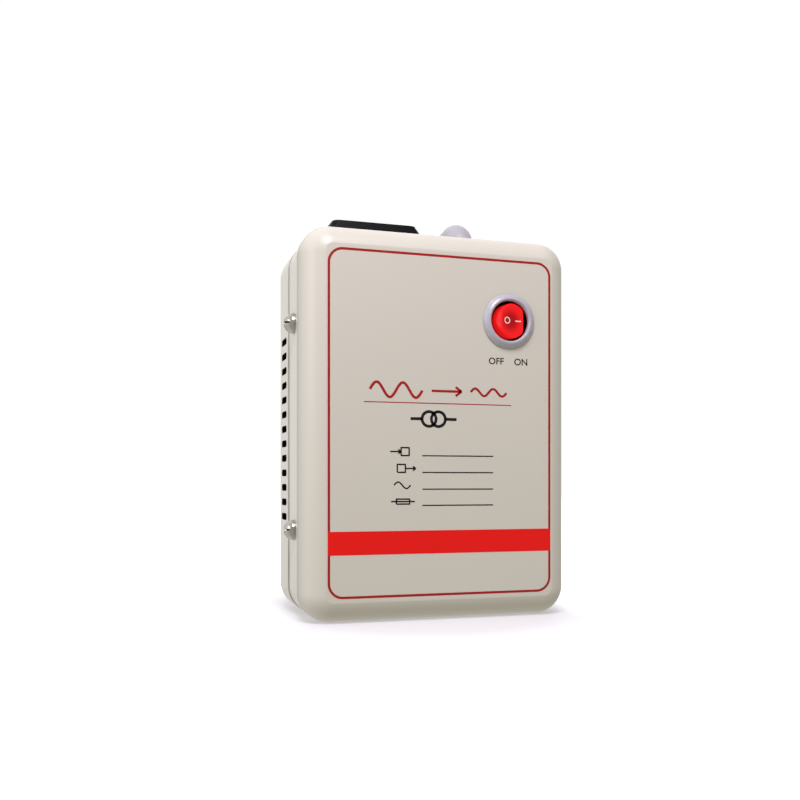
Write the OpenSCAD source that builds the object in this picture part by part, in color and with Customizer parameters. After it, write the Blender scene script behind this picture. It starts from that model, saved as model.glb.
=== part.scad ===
// Step-down voltage converter: a transformer in an upright two-shell case, with a lit
// rocker switch on the front, an output socket on top and a mains cord with a plug.
// Millimetres, +Z up, front faces -Y, origin at the middle of the base.

/* [Case] */
// Width of the case
case_w = 115; // [105:1:135]
// Height of the case
case_h = 160; // [152:1:190]
// Depth of the case, front to back
case_d = 72; // [72:1:90]
// Corner radius of the case outline, seen from the front
corner_r = 12; // [10:1:16]
// How far the rounded edge reaches in from the side
edge_in = 7.5; // [6.5:0.1:9]
// How far the rounded edge reaches back along the side
edge_back = 14; // [13:0.5:15]
// Radius of the tight nose where the edge meets the flat face
nose_r = 5; // [4:0.5:6]
// Wall thickness of both shells
wall = 2; // [1.5:0.1:2.5]
// Depth of the front cover, from the front face to the seam
front_depth = 40.5; // [40:0.5:43]
// Open gap between the two shells at the seam
seam_gap = 0.6; // [0.3:0.1:1]
// Radius of the rolled edge of each shell at the seam
seam_r = 1.4; // [0.8:0.1:1.4]
// Distance of the pressed groove from the front face
groove_at = 16; // [15.5:0.5:18]
// Width of the pressed groove
groove_w = 0.9; // [0.5:0.1:1.5]
// Depth of the pressed groove
groove_deep = 0.6; // [0.3:0.1:0.8]
// Distance of the rear cover's inner lip from the front face
lip_at = 20; // [18:0.5:22]
// Thickness of the inner lip
lip_t = 1.6; // [1.2:0.1:2]
// Gap between the lip and the front cover's wall
lip_gap = 0.2; // [0.1:0.05:0.3]

/* [Side vents] */
// Number of vent slots on each side
vent_count = 13; // [5:1:13]
// Spacing of the vent slots
vent_pitch = 6.4; // [5:0.1:6.6]
// Height of a vent slot
vent_h = 2.6; // [1.5:0.1:3]
// Length of a vent slot
vent_len = 12; // [8:0.5:12.5]
// Gap from the seam to the vent slots
vent_gap = 3.2; // [3:0.1:5]

/* [Side screws] */
// Height of a side screw above or below the middle of the case
screw_rise = 43.3; // [30:0.1:50]
// Distance of the side screws from the front face
screw_at = 28.5; // [27:0.5:31]
// Diameter of a side screw's head
screw_head_d = 8.5; // [7:0.1:10]
// Height of a side screw's head
screw_head_h = 3.2; // [2.5:0.1:4]
// Diameter of a side screw's shank
screw_d = 3.5; // [3:0.1:4]

/* [Switch] */
// Switch centre, in from the right side of the case
switch_in = 28.5; // [25:0.5:36]
// Switch centre, down from the top of the case
switch_down = 36; // [32:0.5:45]
// Outer diameter of the switch's ring
ring_d = 23; // [22.5:0.1:26]
// Height of the ring above the front face
ring_h = 2.2; // [1.5:0.1:3]
// Diameter of the round opening in the ring
ring_open_d = 16.8; // [16.6:0.1:18]
// Diameter of the switch's barrel behind the front face
barrel_d = 19.6; // [19.4:0.1:20.6]
// Depth of the barrel behind the front face
barrel_deep = 21; // [20:0.5:24]
// Tilt of the rocker from its middle position
rocker_tilt = 12; // [8:1:12]
// Radius of the two arcs that bound the rocker
rocker_r = 7.3; // [7:0.1:7.8]
// Half width of the rocker across its hinge line
rocker_half = 6.9; // [6.5:0.1:6.9]
// Depth of the rocker's hinge line behind the front face
rocker_pivot = 3; // [2.5:0.1:3.5]
// Half width of the rocker's flat face
rocker_top = 5; // [4.5:0.1:5.2]
// Height of the rocker's face above the front face
rocker_up = 2.2; // [1.8:0.1:2.4]
// Depth of the foot of the rocker's sloped ends behind the front face
rocker_end = 0.5; // [0.3:0.1:0.8]
// Width of a switch terminal tab
tab_w = 4.8; // [4:0.1:6.3]

/* [Output socket] */
// Socket centre, in from the left side of the case
socket_in = 33.5; // [31:0.5:35]
// Distance of the socket's centre from the front face
socket_at = 35; // [34.5:0.5:37]
// Width of the socket's square plate at its base
plate_w = 39; // [37:0.5:40]
// Height of the plate above the case
plate_h = 5.3; // [4:0.1:7]
// Width of the bevel round the plate
bevel = 3; // [2:0.1:4]
// Width of the socket's body below the plate
socket_body_w = 33; // [32:0.5:34]
// Depth of the socket's body below the case top
socket_deep = 20; // [18:0.5:24]
// Wall of the socket's body
socket_wall = 1.6; // [1.2:0.1:2]
// Depth of the recess in the plate
recess = 2.4; // [1.5:0.1:3]
// Distance between the two flat slots
slot_span = 12.7; // [12:0.1:13.5]
// Width of a flat slot
slot_w = 2; // [1.8:0.1:2.4]
// Length of a flat slot
slot_len = 7.4; // [6.8:0.1:8]
// Diameter of the round earth hole
earth_d = 5.2; // [4.9:0.1:5.6]
// Distance of the earth hole from the line of the slots
earth_off = 11.9; // [10.5:0.1:12.1]

/* [Mains cord] */
// Diameter of the cord
cord_d = 7; // [6.5:0.5:7.5]
// Diameter of the strain relief at its elbow
boot_d = 12; // [11:0.5:13]
// Diameter of the strain relief at its tip
boot_tip_d = 8.6; // [8:0.1:9.5]
// Length of the strain relief's tapered tail
boot_len = 24; // [20:0.5:28]
// Diameter of the strain relief's collar on the case
collar_d = 16; // [15:0.5:18]
// Gap between neighbouring loops of the coil
coil_gap = 0.6; // [0.5:0.1:0.8]

/* [Plug] */
// Width of the plug's body
plug_w = 35; // [33:0.5:36]
// Thickness of the plug's body
plug_t = 14; // [13:0.5:15]
// Length of the plug's body
plug_len = 22; // [20:0.5:24]
// Diameter of a plug pin
pin_d = 4; // [3.8:0.1:4.8]
// Length of a plug pin
pin_len = 19; // [17:0.5:20]
// Distance between the plug pins
pin_span = 18.6; // [17.5:0.1:19.5]

/* [Transformer] */
// Width of an outer leg of the core, the unit of its laminations
leg_w = 14; // [12:0.5:14]
// Depth of the case that the core's stack of laminations leaves free
stack_room = 40; // [38:0.5:44]
// Height of the core's base above the case's base
core_up = 10; // [9:0.5:14]
// Shift of the core's centre back from the middle of the case
core_shift = 3; // [2.5:0.5:4]
// Wall of the bobbin
bobbin_t = 1.2; // [1:0.1:1.5]
// Depth of the primary winding
primary_t = 4.6; // [3:0.1:4.6]
// Depth of the output winding
output_t = 4.8; // [3:0.1:4.8]
// Thickness of the tape wrap
wrap_t = 0.6; // [0.4:0.1:0.6]
// Diameter of the core's bolts
bolt_d = 4; // [3:0.1:5]

/* [Hidden] */
$fn = 48;

// Overlap of a cut past the face that it opens
cut = 1;
// Clearance round a part in its hole
hole_gap = 0.15;
// Clearance round a part that is pushed in from outside
push_gap = 0.3;

// Colours
cream = [0.85, 0.83, 0.79];
nickel = [0.78, 0.77, 0.75];
black_plastic = [0.06, 0.06, 0.07];
lit_red = [0.85, 0.08, 0.06];
pale_grey = [0.86, 0.85, 0.88];
copper = [0.75, 0.42, 0.2];
brass = [0.8, 0.66, 0.32];
steel = [0.45, 0.46, 0.48];
tape_yellow = [0.9, 0.75, 0.2];
board_tan = [0.72, 0.58, 0.36];

// Face frame: x to the right, y up, z towards the viewer, with y = 0 on the base
front_z = case_d / 2;
function face(depth) = front_z - depth;
function back_y(depth) = depth - front_z;

// Rounded edge: a nose arc that runs on into a wide shoulder arc
shoulder_r = (pow(edge_in, 2) + pow(edge_back, 2) - 2 * edge_back * nose_r) / (2 * (edge_in - nose_r));
nose_x = corner_r - edge_in;
nose_z = front_z - nose_r;
shoulder_z = front_z - edge_back;
function join_z(inset) = nose_z + (nose_r - inset) * (edge_back - nose_r) / (shoulder_r - nose_r);

// Shell seam
rear_at = front_depth + seam_gap;
lip_in = wall + lip_gap;
lip_root_len = 2.4;
lip_end = lip_in + lip_t;
vent_at = rear_at + vent_gap;

// Side screws
screw_boss_d = 8;
screw_boss_len = 4;
screw_len = lip_end + screw_boss_len;
screw_rim = 1;
recess_w = 1;
recess_len = 4.8;
recess_deep = 1.4;

// Switch, in its own frame with the front face at z = 0
switch_x = case_w / 2 - switch_in;
switch_z = case_h - switch_down;
barrel_wall = 1.3;
pocket_d = barrel_d - 2 * barrel_wall;
pocket_deep = 7;
axle_d = 2.4;
axle_seat = 0.8;
axle_len = pocket_d / 2 + axle_seat;
rocker_low = 5.4;
rocker_dip = 0.3;
rocker_shift = rocker_r - rocker_half;
lamp_d = 3.4;
lamp_len = 9;
lamp_at = 1.6;
lamp_pocket_d = lamp_d + 2 * hole_gap;
plunger_d = 2.6;
plunger_tip = 9.4;
plunger_seat = 1.5;
plunger_roof = 0.4;
works_half = [6.6, 3.4];
works_deep = 14;
blade_pivot = 11.2;
blade_t = 0.6;
blade_half = 5.4;
blade_w = 4;
knuckle_d = 1.6;
blade_seat = knuckle_d / 2 + hole_gap;
pad_d = 1.8;
pad_h = 0.6;
blade_tilt = rocker_tilt / 2;
lug_w = 5;
lug_out = 1.2;
lug_len = 4;
tab_t = 0.8;
tab_len = 8;
tab_span = 6;
contact_top = 12.6;

// Output socket
socket_x = socket_in - case_w / 2;
slot_shift = (earth_off + earth_d / 2 - slot_len / 2) / 2;
insert_w = socket_body_w - 2 * socket_wall - 2 * hole_gap;
ledge = 1.2;
socket_open = insert_w - 2 * ledge;
insert_top = case_h + plate_h - recess;
socket_floor = 2;
insert_h = socket_deep - socket_floor;
insert_low = insert_top - insert_h;
face_t = 3.2;
contact_t = 0.6;
contact_room = 0.4;
contact_over = 0.6;
contact_tail = 3;
contact_w = slot_w + 2 * contact_t + contact_room;
contact_len = slot_len + contact_over;
contact_h = insert_h - face_t + contact_tail;
earth_wall = 0.8;
earth_out = earth_d + 2 * earth_wall + contact_room;
socket_lug = [1.4, 8, 4];

// Strain relief and cord
boot_in = 37.5;
boot_x = case_w / 2 - boot_in;
boot_at = 34;
boot_y = back_y(boot_at);
boot_bend = 8;
boot_z = case_h + boot_bend;
boot_tip = boot_y + boot_bend + boot_len;
collar_h = 2;
neck_d = 10;
neck_len = 12;
ring_t = 2;
boot_rings = 5;
boot_groove = 0.8;
boot_ring_pitch = boot_len / (boot_rings + 1);

// The cord's way out of the strain relief, over a wide bend and straight down behind the case
exit_len = 5;
drop_r = 30;
floor_r = 29;
join_len = 2;
bend_steps = 5;
drop_steps = 5;
cord_sides = 10;
drop_y = boot_tip + exit_len + drop_r;

// Coil on the floor: in along the upper layer, down a layer, and out along the lower layer
tie_t = 0.9;
tie_gap = 0.3;
tie_w = 5;
tie_round = 2;
coil_pitch = cord_d + coil_gap;
coil_low = tie_t + tie_gap + cord_d / 2;
coil_high = coil_low + coil_pitch;
coil_entry = [boot_x, drop_y + floor_r + join_len, coil_high];
coil_r = 44;
coil_in = 2;
coil_fall = 0.5;
coil_out = 2.25;
coil_total = coil_in + coil_fall + coil_out;
coil_steps = 24;
coil_sides = 6;
coil_centre = [coil_entry[0] + coil_r, coil_entry[1] + join_len];
coil_turn_back = coil_in + coil_fall / 2;
function coil_radius(t) = coil_r - coil_pitch * (coil_turn_back - abs(t - coil_turn_back));
function coil_fallen(t) = min(max((t - coil_in) / coil_fall, 0), 1);
function coil_point(t) = [
    coil_centre[0] - coil_radius(t) * cos(360 * t),
    coil_centre[1] + coil_radius(t) * sin(360 * t),
    coil_high - coil_pitch * coil_fallen(t)
];
coil_exit = coil_point(coil_total) - [cord_d, 0, 0];
coil_route = concat(
    [coil_entry],
    [for (i = [0 : coil_total * coil_steps]) coil_point(i / coil_steps)],
    [coil_exit]
);
tie_low_r = coil_radius(coil_in + coil_fall) - cord_d / 2 - tie_gap;
tie_high_r = coil_radius(coil_in + coil_fall + 2) + cord_d / 2 + tie_gap;
tie_room = coil_pitch + cord_d + 2 * tie_gap;

// The cord's way from the strain relief to the coil: a quarter bend, a straight drop and a quarter bend
drop_top = boot_z - drop_r;
drop_end = coil_high + floor_r;
function over_edge(i) = let (a = 90 * i / bend_steps)
    [boot_x, drop_y - drop_r + drop_r * sin(a), drop_top + drop_r * cos(a)];
function onto_floor(i) = let (a = 90 * i / bend_steps)
    [boot_x, drop_y + floor_r - floor_r * cos(a), drop_end - floor_r * sin(a)];
stretch_route = concat(
    [[boot_x, boot_tip, boot_z]],
    [for (i = [0 : bend_steps]) over_edge(i)],
    [for (i = [1 : drop_steps - 1]) [boot_x, drop_y, drop_top + (drop_end - drop_top) * i / drop_steps]],
    [for (i = [0 : bend_steps]) onto_floor(i)],
    [coil_entry]
);

// The cord's short way from the coil to the plug, straight at both ends
tail_len = 45.5;
tail_shift = 4.4;
tail_steps = 4;
plug_entry = [coil_exit[0] - tail_len, coil_exit[1] + tail_shift, plug_t / 2];
tail_start = coil_exit - [cord_d, 0, 0];
tail_end = plug_entry + [cord_d, 0, 0];
function eased(u) = pow(u, 2) * (3 - 2 * u);
function tail_point(u) = [
    tail_start[0] + u * (tail_end[0] - tail_start[0]),
    tail_start[1] + eased(u) * (tail_end[1] - tail_start[1]),
    tail_start[2] + eased(u) * (tail_end[2] - tail_start[2])
];
tail_route = concat(
    [coil_exit],
    [for (i = [0 : tail_steps]) tail_point(i / tail_steps)],
    [plug_entry]
);
plug_boot_len = 20;
plug_boot_d = 11;
plug_boot_tip = 8.4;
plug_corner = 5;
pin_root = 8;
pin_root_d = pin_d - 1;

// Transformer, in the face frame with the core's centre at z = core_z
stack = case_d - stack_room;
core_at = case_d / 2 + core_shift;
core_z = face(core_at);
core_w = 6 * leg_w;
core_h = 5 * leg_w;
window_h = 3 * leg_w;
bobbin_fit = 0.3;
leg_round = 0.8;
bobbin_h = window_h - 2 * bobbin_fit;
bobbin_y = core_up + leg_w + bobbin_fit;
tube_out = bobbin_fit + bobbin_t;
primary_out = tube_out + primary_t;
output_out = primary_out + output_t;
wrap_out = output_out + wrap_t;
flange_over = 0.4;
flange_out = wrap_out + flange_over;
winding_gap = 0.05;
winding_y = bobbin_y + bobbin_t;
winding_h = bobbin_h - 2 * bobbin_t;
bolt_spots = [for (side = [-1, 1], top = [0, 1])
    [side * (core_w - leg_w) / 2, core_up + leg_w / 2 + top * (core_h - leg_w)]];
post_d = 9;
bolt_head_d = 7.6;
bolt_head_h = 2.4;
nut_w = 7;
nut_h = 3.2;
bolt_spare = 1.5;
core_back = core_at + stack / 2;
core_front = core_at - stack / 2;
cutout_size = [16, 8, 4];

// Terminal board on the back wall
board_at = [24, 108];
board_size = [44, 26, 1.6];
board_post_h = 8;
board_post_d = 7;
board_hole_span = 36;
board_screw_d = 3;
board_head_d = 5.6;
board_head_h = 2;
board_back = face(case_d - wall - board_post_h);
board_front = board_back + board_size[2];
fuse_d = 5;
fuse_len = 20;
fuse_up = 4;
clip_len = 6;
clip_t = 0.5;
clip_out = fuse_d + 2 * (clip_t + hole_gap);

// Inside wiring: a lead's ends, and how far it runs straight out of each before it bends
lead_d = 2.2;
lead_sides = 6;
lead_steps = 12;
lead_gap = 4;
primary_spot = 10;
output_spots = [-10, -22];
neck_end = [boot_x, boot_y, case_h - neck_len];
function tab_end(i) = [switch_x + i * tab_span, back_y(barrel_deep + tab_len), switch_z];
function clip_top(side) = [
    board_at[0] + side * (fuse_len - clip_len) / 2, -board_front - fuse_up, board_at[1] + clip_out / 2
];
function flange_spot(x) = [x, -core_z - stack / 2 - flange_out / 2, bobbin_y + bobbin_h];
function contact_foot(side) = [
    socket_x + side * slot_span / 2, back_y(socket_at) - slot_shift, insert_top - face_t - contact_h
];

// Turns a module drawn in the face frame to stand upright
module upright() { rotate([90, 0, 0]) children(); }

// Moves the switch's own frame to its place on the front face
module at_switch() { upright() translate([switch_x, switch_z, front_z]) children(); }

// Moves a part to the middle of the socket at the top of the case
module at_socket() { translate([socket_x, back_y(socket_at), 0]) children(); }

// Rectangle with round corners, centred
module rounded_rect(w, h, r) {
    square([w - 2 * r, h], center = true);
    square([w, h - 2 * r], center = true);
    for (x = [-1, 1], y = [-1, 1]) translate([x * (w / 2 - r), y * (h / 2 - r)]) circle(r);
}

// Slot with round ends, centred
module slot_shape(length, h) {
    square([length - h, h], center = true);
    for (end = [-1, 1]) translate([end * (length - h) / 2, 0]) circle(h / 2);
}

// Section through the rounded edge, from the corner's axis outwards, with a rolled low edge
module flank_section(inset, low, rolled) {
    translate([0, low]) square([nose_x, front_z - inset - low]);
    translate([0, low]) square([corner_r - inset - rolled, shoulder_z - low]);
    translate([0, low + rolled]) square([corner_r - inset, shoulder_z - low - rolled]);
    if (rolled > 0) translate([corner_r - inset - rolled, low + rolled]) circle(rolled);
    intersection() {
        translate([nose_x, nose_z]) circle(nose_r - inset);
        translate([nose_x, nose_z]) square(nose_r);
    }
    intersection() {
        translate([corner_r - shoulder_r, shoulder_z]) circle(shoulder_r - inset);
        translate([nose_x, shoulder_z]) square([edge_in, join_z(inset) - shoulder_z]);
    }
}

// Block with the case's outline and rounded front edge, set in by inset, with its other edge rolled
module rounded_block(inset, low, rolled = 0) {
    translate([0, case_h / 2, 0]) {
        for (k = [0 : 3]) {
            reach = (k % 2 == 0 ? case_w : case_h) / 2 - corner_r;
            side = (k % 2 == 0 ? case_h : case_w) - 2 * corner_r;
            rotate([0, 0, 90 * k]) translate([reach, side / 2, 0]) {
                rotate_extrude(angle = 90) flank_section(inset, low, rolled);
                rotate([90, 0, 0]) linear_extrude(side) flank_section(inset, low, rolled);
            }
        }
        translate([0, 0, low]) linear_extrude(front_z - inset - low)
            square([case_w - 2 * corner_r, case_h - 2 * corner_r], center = true);
    }
}

// Straight slice of the case's outline, set in by inset
module outline_slice(inset, low, high) {
    translate([0, case_h / 2, low]) linear_extrude(high - low)
        rounded_rect(case_w - 2 * inset, case_h - 2 * inset, corner_r - inset);
}

// Band round the case between two insets
module outline_band(outer, inner, low, high) {
    difference() {
        outline_slice(outer, low, high);
        outline_slice(inner, low - cut, high + cut);
    }
}

// Puts a child, drawn along +z, on the outside of each side at each screw
module at_side_screws() {
    for (side = [0, 1], rise = [-1, 1])
        translate([0, case_h / 2 + rise * screw_rise, face(screw_at)])
            rotate([0, side * 180, 0]) translate([case_w / 2, 0, 0]) rotate([0, 90, 0]) children();
}

// Holes that both shells share: the side screws, the socket and the strain relief's neck
module shared_holes() {
    at_side_screws() translate([0, 0, -screw_len - cut])
        cylinder(d = screw_d + 2 * hole_gap, h = screw_len + 2 * cut);
    translate([socket_x, case_h, face(socket_at)])
        cube([socket_body_w, 4 * lip_end, socket_body_w] + 2 * push_gap * [1, 0, 1], center = true);
    translate([boot_x, case_h, face(boot_at)]) rotate([90, 0, 0])
        cylinder(d = neck_d + 2 * push_gap, h = 4 * lip_end, center = true);
}

module front_cover() {
    color(cream) upright() difference() {
        rounded_block(0, face(front_depth), seam_r);
        rounded_block(wall, face(front_depth) - cut);
        outline_band(-cut, groove_deep, face(groove_at + groove_w / 2), face(groove_at - groove_w / 2));
        translate([switch_x, switch_z, front_z - wall - cut])
            cylinder(d = barrel_d + 2 * hole_gap, h = wall + 2 * cut);
        shared_holes();
    }
}

// Tray of the rear cover with its rounded back edge
module rear_tray() {
    difference() {
        rotate([0, 180, 0]) rounded_block(0, -face(rear_at), seam_r);
        rotate([0, 180, 0]) rounded_block(wall, -face(rear_at) - cut);
    }
}

// Row of slots through one side wall
module vent_row() {
    for (i = [0 : vent_count - 1])
        translate([0, case_h / 2 + (i - (vent_count - 1) / 2) * vent_pitch, face(vent_at + vent_len / 2)])
            rotate([0, 90, 0]) linear_extrude(2 * (wall + cut), center = true)
                slot_shape(vent_len, vent_h);
}

module rear_cover() {
    back_in = -front_z + wall;
    color(cream) upright() difference() {
        union() {
            rear_tray();
            outline_band(lip_in, lip_end, face(rear_at + lip_root_len), face(lip_at));
            outline_band(seam_r, lip_end, face(rear_at + lip_root_len), face(rear_at));
            at_side_screws() translate([0, 0, -screw_len])
                cylinder(d = screw_boss_d, h = screw_boss_len + lip_t / 2);
            for (spot = bolt_spots) translate([spot[0], spot[1], back_in - wall / 2])
                cylinder(d = post_d, h = face(core_back) - back_in + wall / 2);
            for (side = [-1, 1]) translate([board_at[0] + side * board_hole_span / 2, board_at[1], back_in - wall / 2])
                cylinder(d = board_post_d, h = board_post_h + wall / 2);
        }
        for (side = [-1, 1]) translate([side * case_w / 2, 0, 0]) vent_row();
        for (spot = bolt_spots) translate([spot[0], spot[1], -front_z - cut])
            cylinder(d = bolt_d + 2 * hole_gap, h = case_d);
        for (side = [-1, 1]) translate([board_at[0] + side * board_hole_span / 2, board_at[1], back_in])
            cylinder(d = board_screw_d + 2 * hole_gap, h = board_post_h + cut);
        shared_holes();
    }
}

// Pan head with a crossed recess, sitting on z = 0
module pan_head(d, h, rim) {
    rise = h - rim;
    dome_r = (pow(d / 2, 2) + pow(rise, 2)) / (2 * rise);
    difference() {
        rotate_extrude() intersection() {
            translate([0, h - dome_r]) circle(dome_r);
            square([d / 2, h]);
        }
        for (turn = [0, 90]) rotate([0, 0, turn]) translate([0, 0, h])
            cube([recess_len * d / screw_head_d, recess_w, 2 * recess_deep * h / screw_head_h], center = true);
    }
}

module side_screws() {
    color(nickel) upright() at_side_screws() {
        pan_head(screw_head_d, screw_head_h, screw_rim);
        translate([0, 0, -screw_len]) cylinder(d = screw_d, h = screw_len);
    }
}

// Ring with a rounded rim and a sloped inner edge
module switch_bezel() {
    rim_r = ring_h / 2;
    color(pale_grey) at_switch() rotate_extrude() difference() {
        union() {
            translate([ring_open_d / 2, 0]) square([(ring_d - ring_open_d) / 2 - rim_r, ring_h]);
            translate([ring_d / 2 - rim_r, rim_r]) circle(rim_r);
            translate([ring_open_d / 2, 0]) square([(ring_d - ring_open_d) / 2, rim_r]);
        }
        polygon([[ring_open_d / 2 - cut, ring_h + cut], [ring_open_d / 2 - cut, ring_h / 2],
            [ring_open_d / 2, ring_h / 2], [ring_open_d / 2 + ring_h / 2, ring_h],
            [ring_open_d / 2 + ring_h / 2, ring_h + cut]]);
    }
}

// Section of a switch piece across its hinge line, pushed through along the hinge
module along_hinge(len) { rotate([90, 0, 0]) linear_extrude(len, center = true) children(); }

module switch_housing() {
    color(black_plastic) at_switch() difference() {
        union() {
            translate([0, 0, -barrel_deep]) cylinder(d = barrel_d, h = barrel_deep);
            for (side = [-1, 1])
                translate([-lug_w / 2, side * (barrel_d / 2 - lug_out / 2) - lug_out, -wall - hole_gap - lug_len])
                    cube([lug_w, 2 * lug_out, lug_len]);
        }
        translate([0, 0, -pocket_deep]) cylinder(d = pocket_d, h = pocket_deep + cut);
        translate([-works_half[0], -works_half[1], -works_deep])
            cube([2 * works_half[0], 2 * works_half[1], works_deep - pocket_deep + cut]);
        translate([0, 0, -rocker_pivot]) rotate([90, 0, 0])
            cylinder(d = axle_d + 2 * hole_gap, h = 2 * (axle_len + hole_gap), center = true);
        for (i = [-1 : 1]) translate([i * tab_span, 0, -barrel_deep])
            cube([tab_t + 2 * hole_gap, tab_w + 2 * hole_gap, 2 * (barrel_deep - works_deep + cut)], center = true);
    }
}

// Tilts a switch piece about a line behind the front face
module tilted(angle, deep) {
    translate([0, 0, -deep]) rotate([0, angle, 0]) translate([0, 0, deep]) children();
}

// Rocker with a shallow dished face and sloped ends, drawn with its right side pressed in
module switch_rocker() {
    color(lit_red) at_switch() tilted(rocker_tilt, rocker_pivot) difference() {
        union() {
            intersection() {
                translate([0, 0, -rocker_low]) linear_extrude(2 * rocker_low) intersection_for (side = [-1, 1])
                    translate([side * rocker_shift, 0]) circle(rocker_r);
                along_hinge(2 * rocker_r) polygon([
                    [-rocker_half, -rocker_low], [rocker_half, -rocker_low],
                    [rocker_half, -rocker_end], [rocker_top, rocker_up],
                    [0, rocker_up - rocker_dip],
                    [-rocker_top, rocker_up], [-rocker_half, -rocker_end]]);
            }
            translate([0, 0, -rocker_pivot]) rotate([90, 0, 0])
                cylinder(d = axle_d, h = 2 * axle_len, center = true);
        }
        translate([0, 0, -lamp_at]) rotate([90, 0, 0])
            cylinder(d = lamp_pocket_d, h = lamp_len + 2 * hole_gap, center = true);
        translate([0, 0, -rocker_low - cut])
            cylinder(d = plunger_d + 2 * hole_gap, h = rocker_low - lamp_at - lamp_pocket_d / 2 + cut - plunger_roof);
    }
}

module switch_lamp() {
    color("orange") at_switch() tilted(rocker_tilt, rocker_pivot) translate([0, 0, -lamp_at])
        rotate([90, 0, 0]) cylinder(d = lamp_d, h = lamp_len, center = true);
}

// Spring-loaded pin in the rocker that tips the contact blade
module switch_plunger() {
    plunger_top = rocker_low - plunger_seat;
    color(brass) at_switch() tilted(rocker_tilt, rocker_pivot) {
        translate([0, 0, -plunger_tip + plunger_d / 2])
            cylinder(d = plunger_d, h = plunger_tip - plunger_d / 2 - plunger_top);
        translate([0, 0, -plunger_tip + plunger_d / 2]) sphere(d = plunger_d);
    }
}

// See-saw contact blade with a round knuckle along its pivot and a pad at each end
module switch_blade() {
    color(copper) at_switch() tilted(-blade_tilt, blade_pivot) {
        translate([-blade_half, -blade_w / 2, -blade_pivot]) cube([2 * blade_half, blade_w, blade_t]);
        for (side = [-1, 1]) translate([side * (blade_half - pad_d / 2), 0, -blade_pivot - pad_h])
            cylinder(d = pad_d, h = pad_h);
        translate([0, 0, -blade_pivot]) rotate([90, 0, 0])
            cylinder(d = knuckle_d, h = blade_w, center = true);
    }
}

// Three tabs: the middle one carries the blade, the outer ones its fixed contacts
module switch_terminals() {
    color(brass) at_switch() for (i = [-1 : 1]) {
        top = i == 0 ? blade_pivot + blade_seat : contact_top;
        translate([i * tab_span - tab_t / 2, -tab_w / 2, -barrel_deep - tab_len])
            cube([tab_t, tab_w, barrel_deep + tab_len - top]);
    }
}

// Square plate with bevelled edges, its base on z = 0
module bevelled_plate() {
    intersection_for (turn = [0, 90]) rotate([0, 0, turn]) rotate([90, 0, 0])
        linear_extrude(plate_w, center = true) polygon([
            [-plate_w / 2, 0], [plate_w / 2, 0], [plate_w / 2, plate_h - bevel],
            [plate_w / 2 - bevel, plate_h], [-plate_w / 2 + bevel, plate_h], [-plate_w / 2, plate_h - bevel]]);
}

// Upright square bar between two heights
module square_bar(w, low, high) { translate([-w / 2, -w / 2, low]) cube([w, w, high - low]); }

module socket_frame() {
    lug_top = case_h - lip_end - hole_gap;
    color(black_plastic) at_socket() difference() {
        union() {
            translate([0, 0, case_h]) bevelled_plate();
            square_bar(socket_body_w, case_h - socket_deep, case_h + plate_h - bevel);
            for (side = [-1, 1])
                translate([side * socket_body_w / 2 - socket_lug[0], -socket_lug[1] / 2, lug_top - socket_lug[2]])
                    cube([2 * socket_lug[0], socket_lug[1], socket_lug[2]]);
        }
        square_bar(insert_w + 2 * hole_gap, case_h - socket_deep - cut, insert_top);
        square_bar(socket_open, insert_top - cut, case_h + plate_h + cut);
    }
}

// Puts a child at each flat slot of the socket
module at_slots() {
    for (side = [-1, 1]) translate([side * slot_span / 2, -slot_shift, 0]) children();
}

// Puts a child at the earth hole of the socket
module at_earth() { translate([0, earth_off - slot_shift, 0]) children(); }

// Upright bar, centred, between two heights
module bar(w, d, low, high) { translate([-w / 2, -d / 2, low]) cube([w, d, high - low]); }

module socket_insert() {
    pocket_top = insert_top - face_t;
    color(black_plastic) at_socket() difference() {
        square_bar(insert_w, insert_low, insert_top);
        at_slots() {
            bar(slot_w, slot_len, insert_low - cut, insert_top + cut);
            bar(contact_w + 2 * hole_gap, contact_len + 2 * hole_gap, insert_low - cut, pocket_top);
        }
        at_earth() {
            translate([0, 0, insert_low - cut]) cylinder(d = earth_d, h = insert_h + 2 * cut);
            translate([0, 0, insert_low - cut])
                cylinder(d = earth_out + 2 * hole_gap, h = insert_h - face_t + cut);
        }
    }
}

// Pair of spring leaves under each slot, joined at the foot
module socket_contacts() {
    contact_top_z = insert_top - face_t;
    contact_low = contact_top_z - contact_h;
    color(brass) at_socket() at_slots() difference() {
        bar(contact_w, contact_len, contact_low, contact_top_z);
        bar(contact_w - 2 * contact_t, contact_len + cut, contact_low + contact_h / 3, contact_top_z + cut);
    }
}

// Sleeve under the earth hole
module earth_contact() {
    sleeve_top = insert_top - face_t;
    color(brass) at_socket() at_earth() difference() {
        translate([0, 0, sleeve_top - contact_h]) cylinder(d = earth_out, h = contact_h);
        translate([0, 0, sleeve_top - contact_h * 2 / 3]) cylinder(d = earth_d + contact_room, h = contact_h);
    }
}

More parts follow.
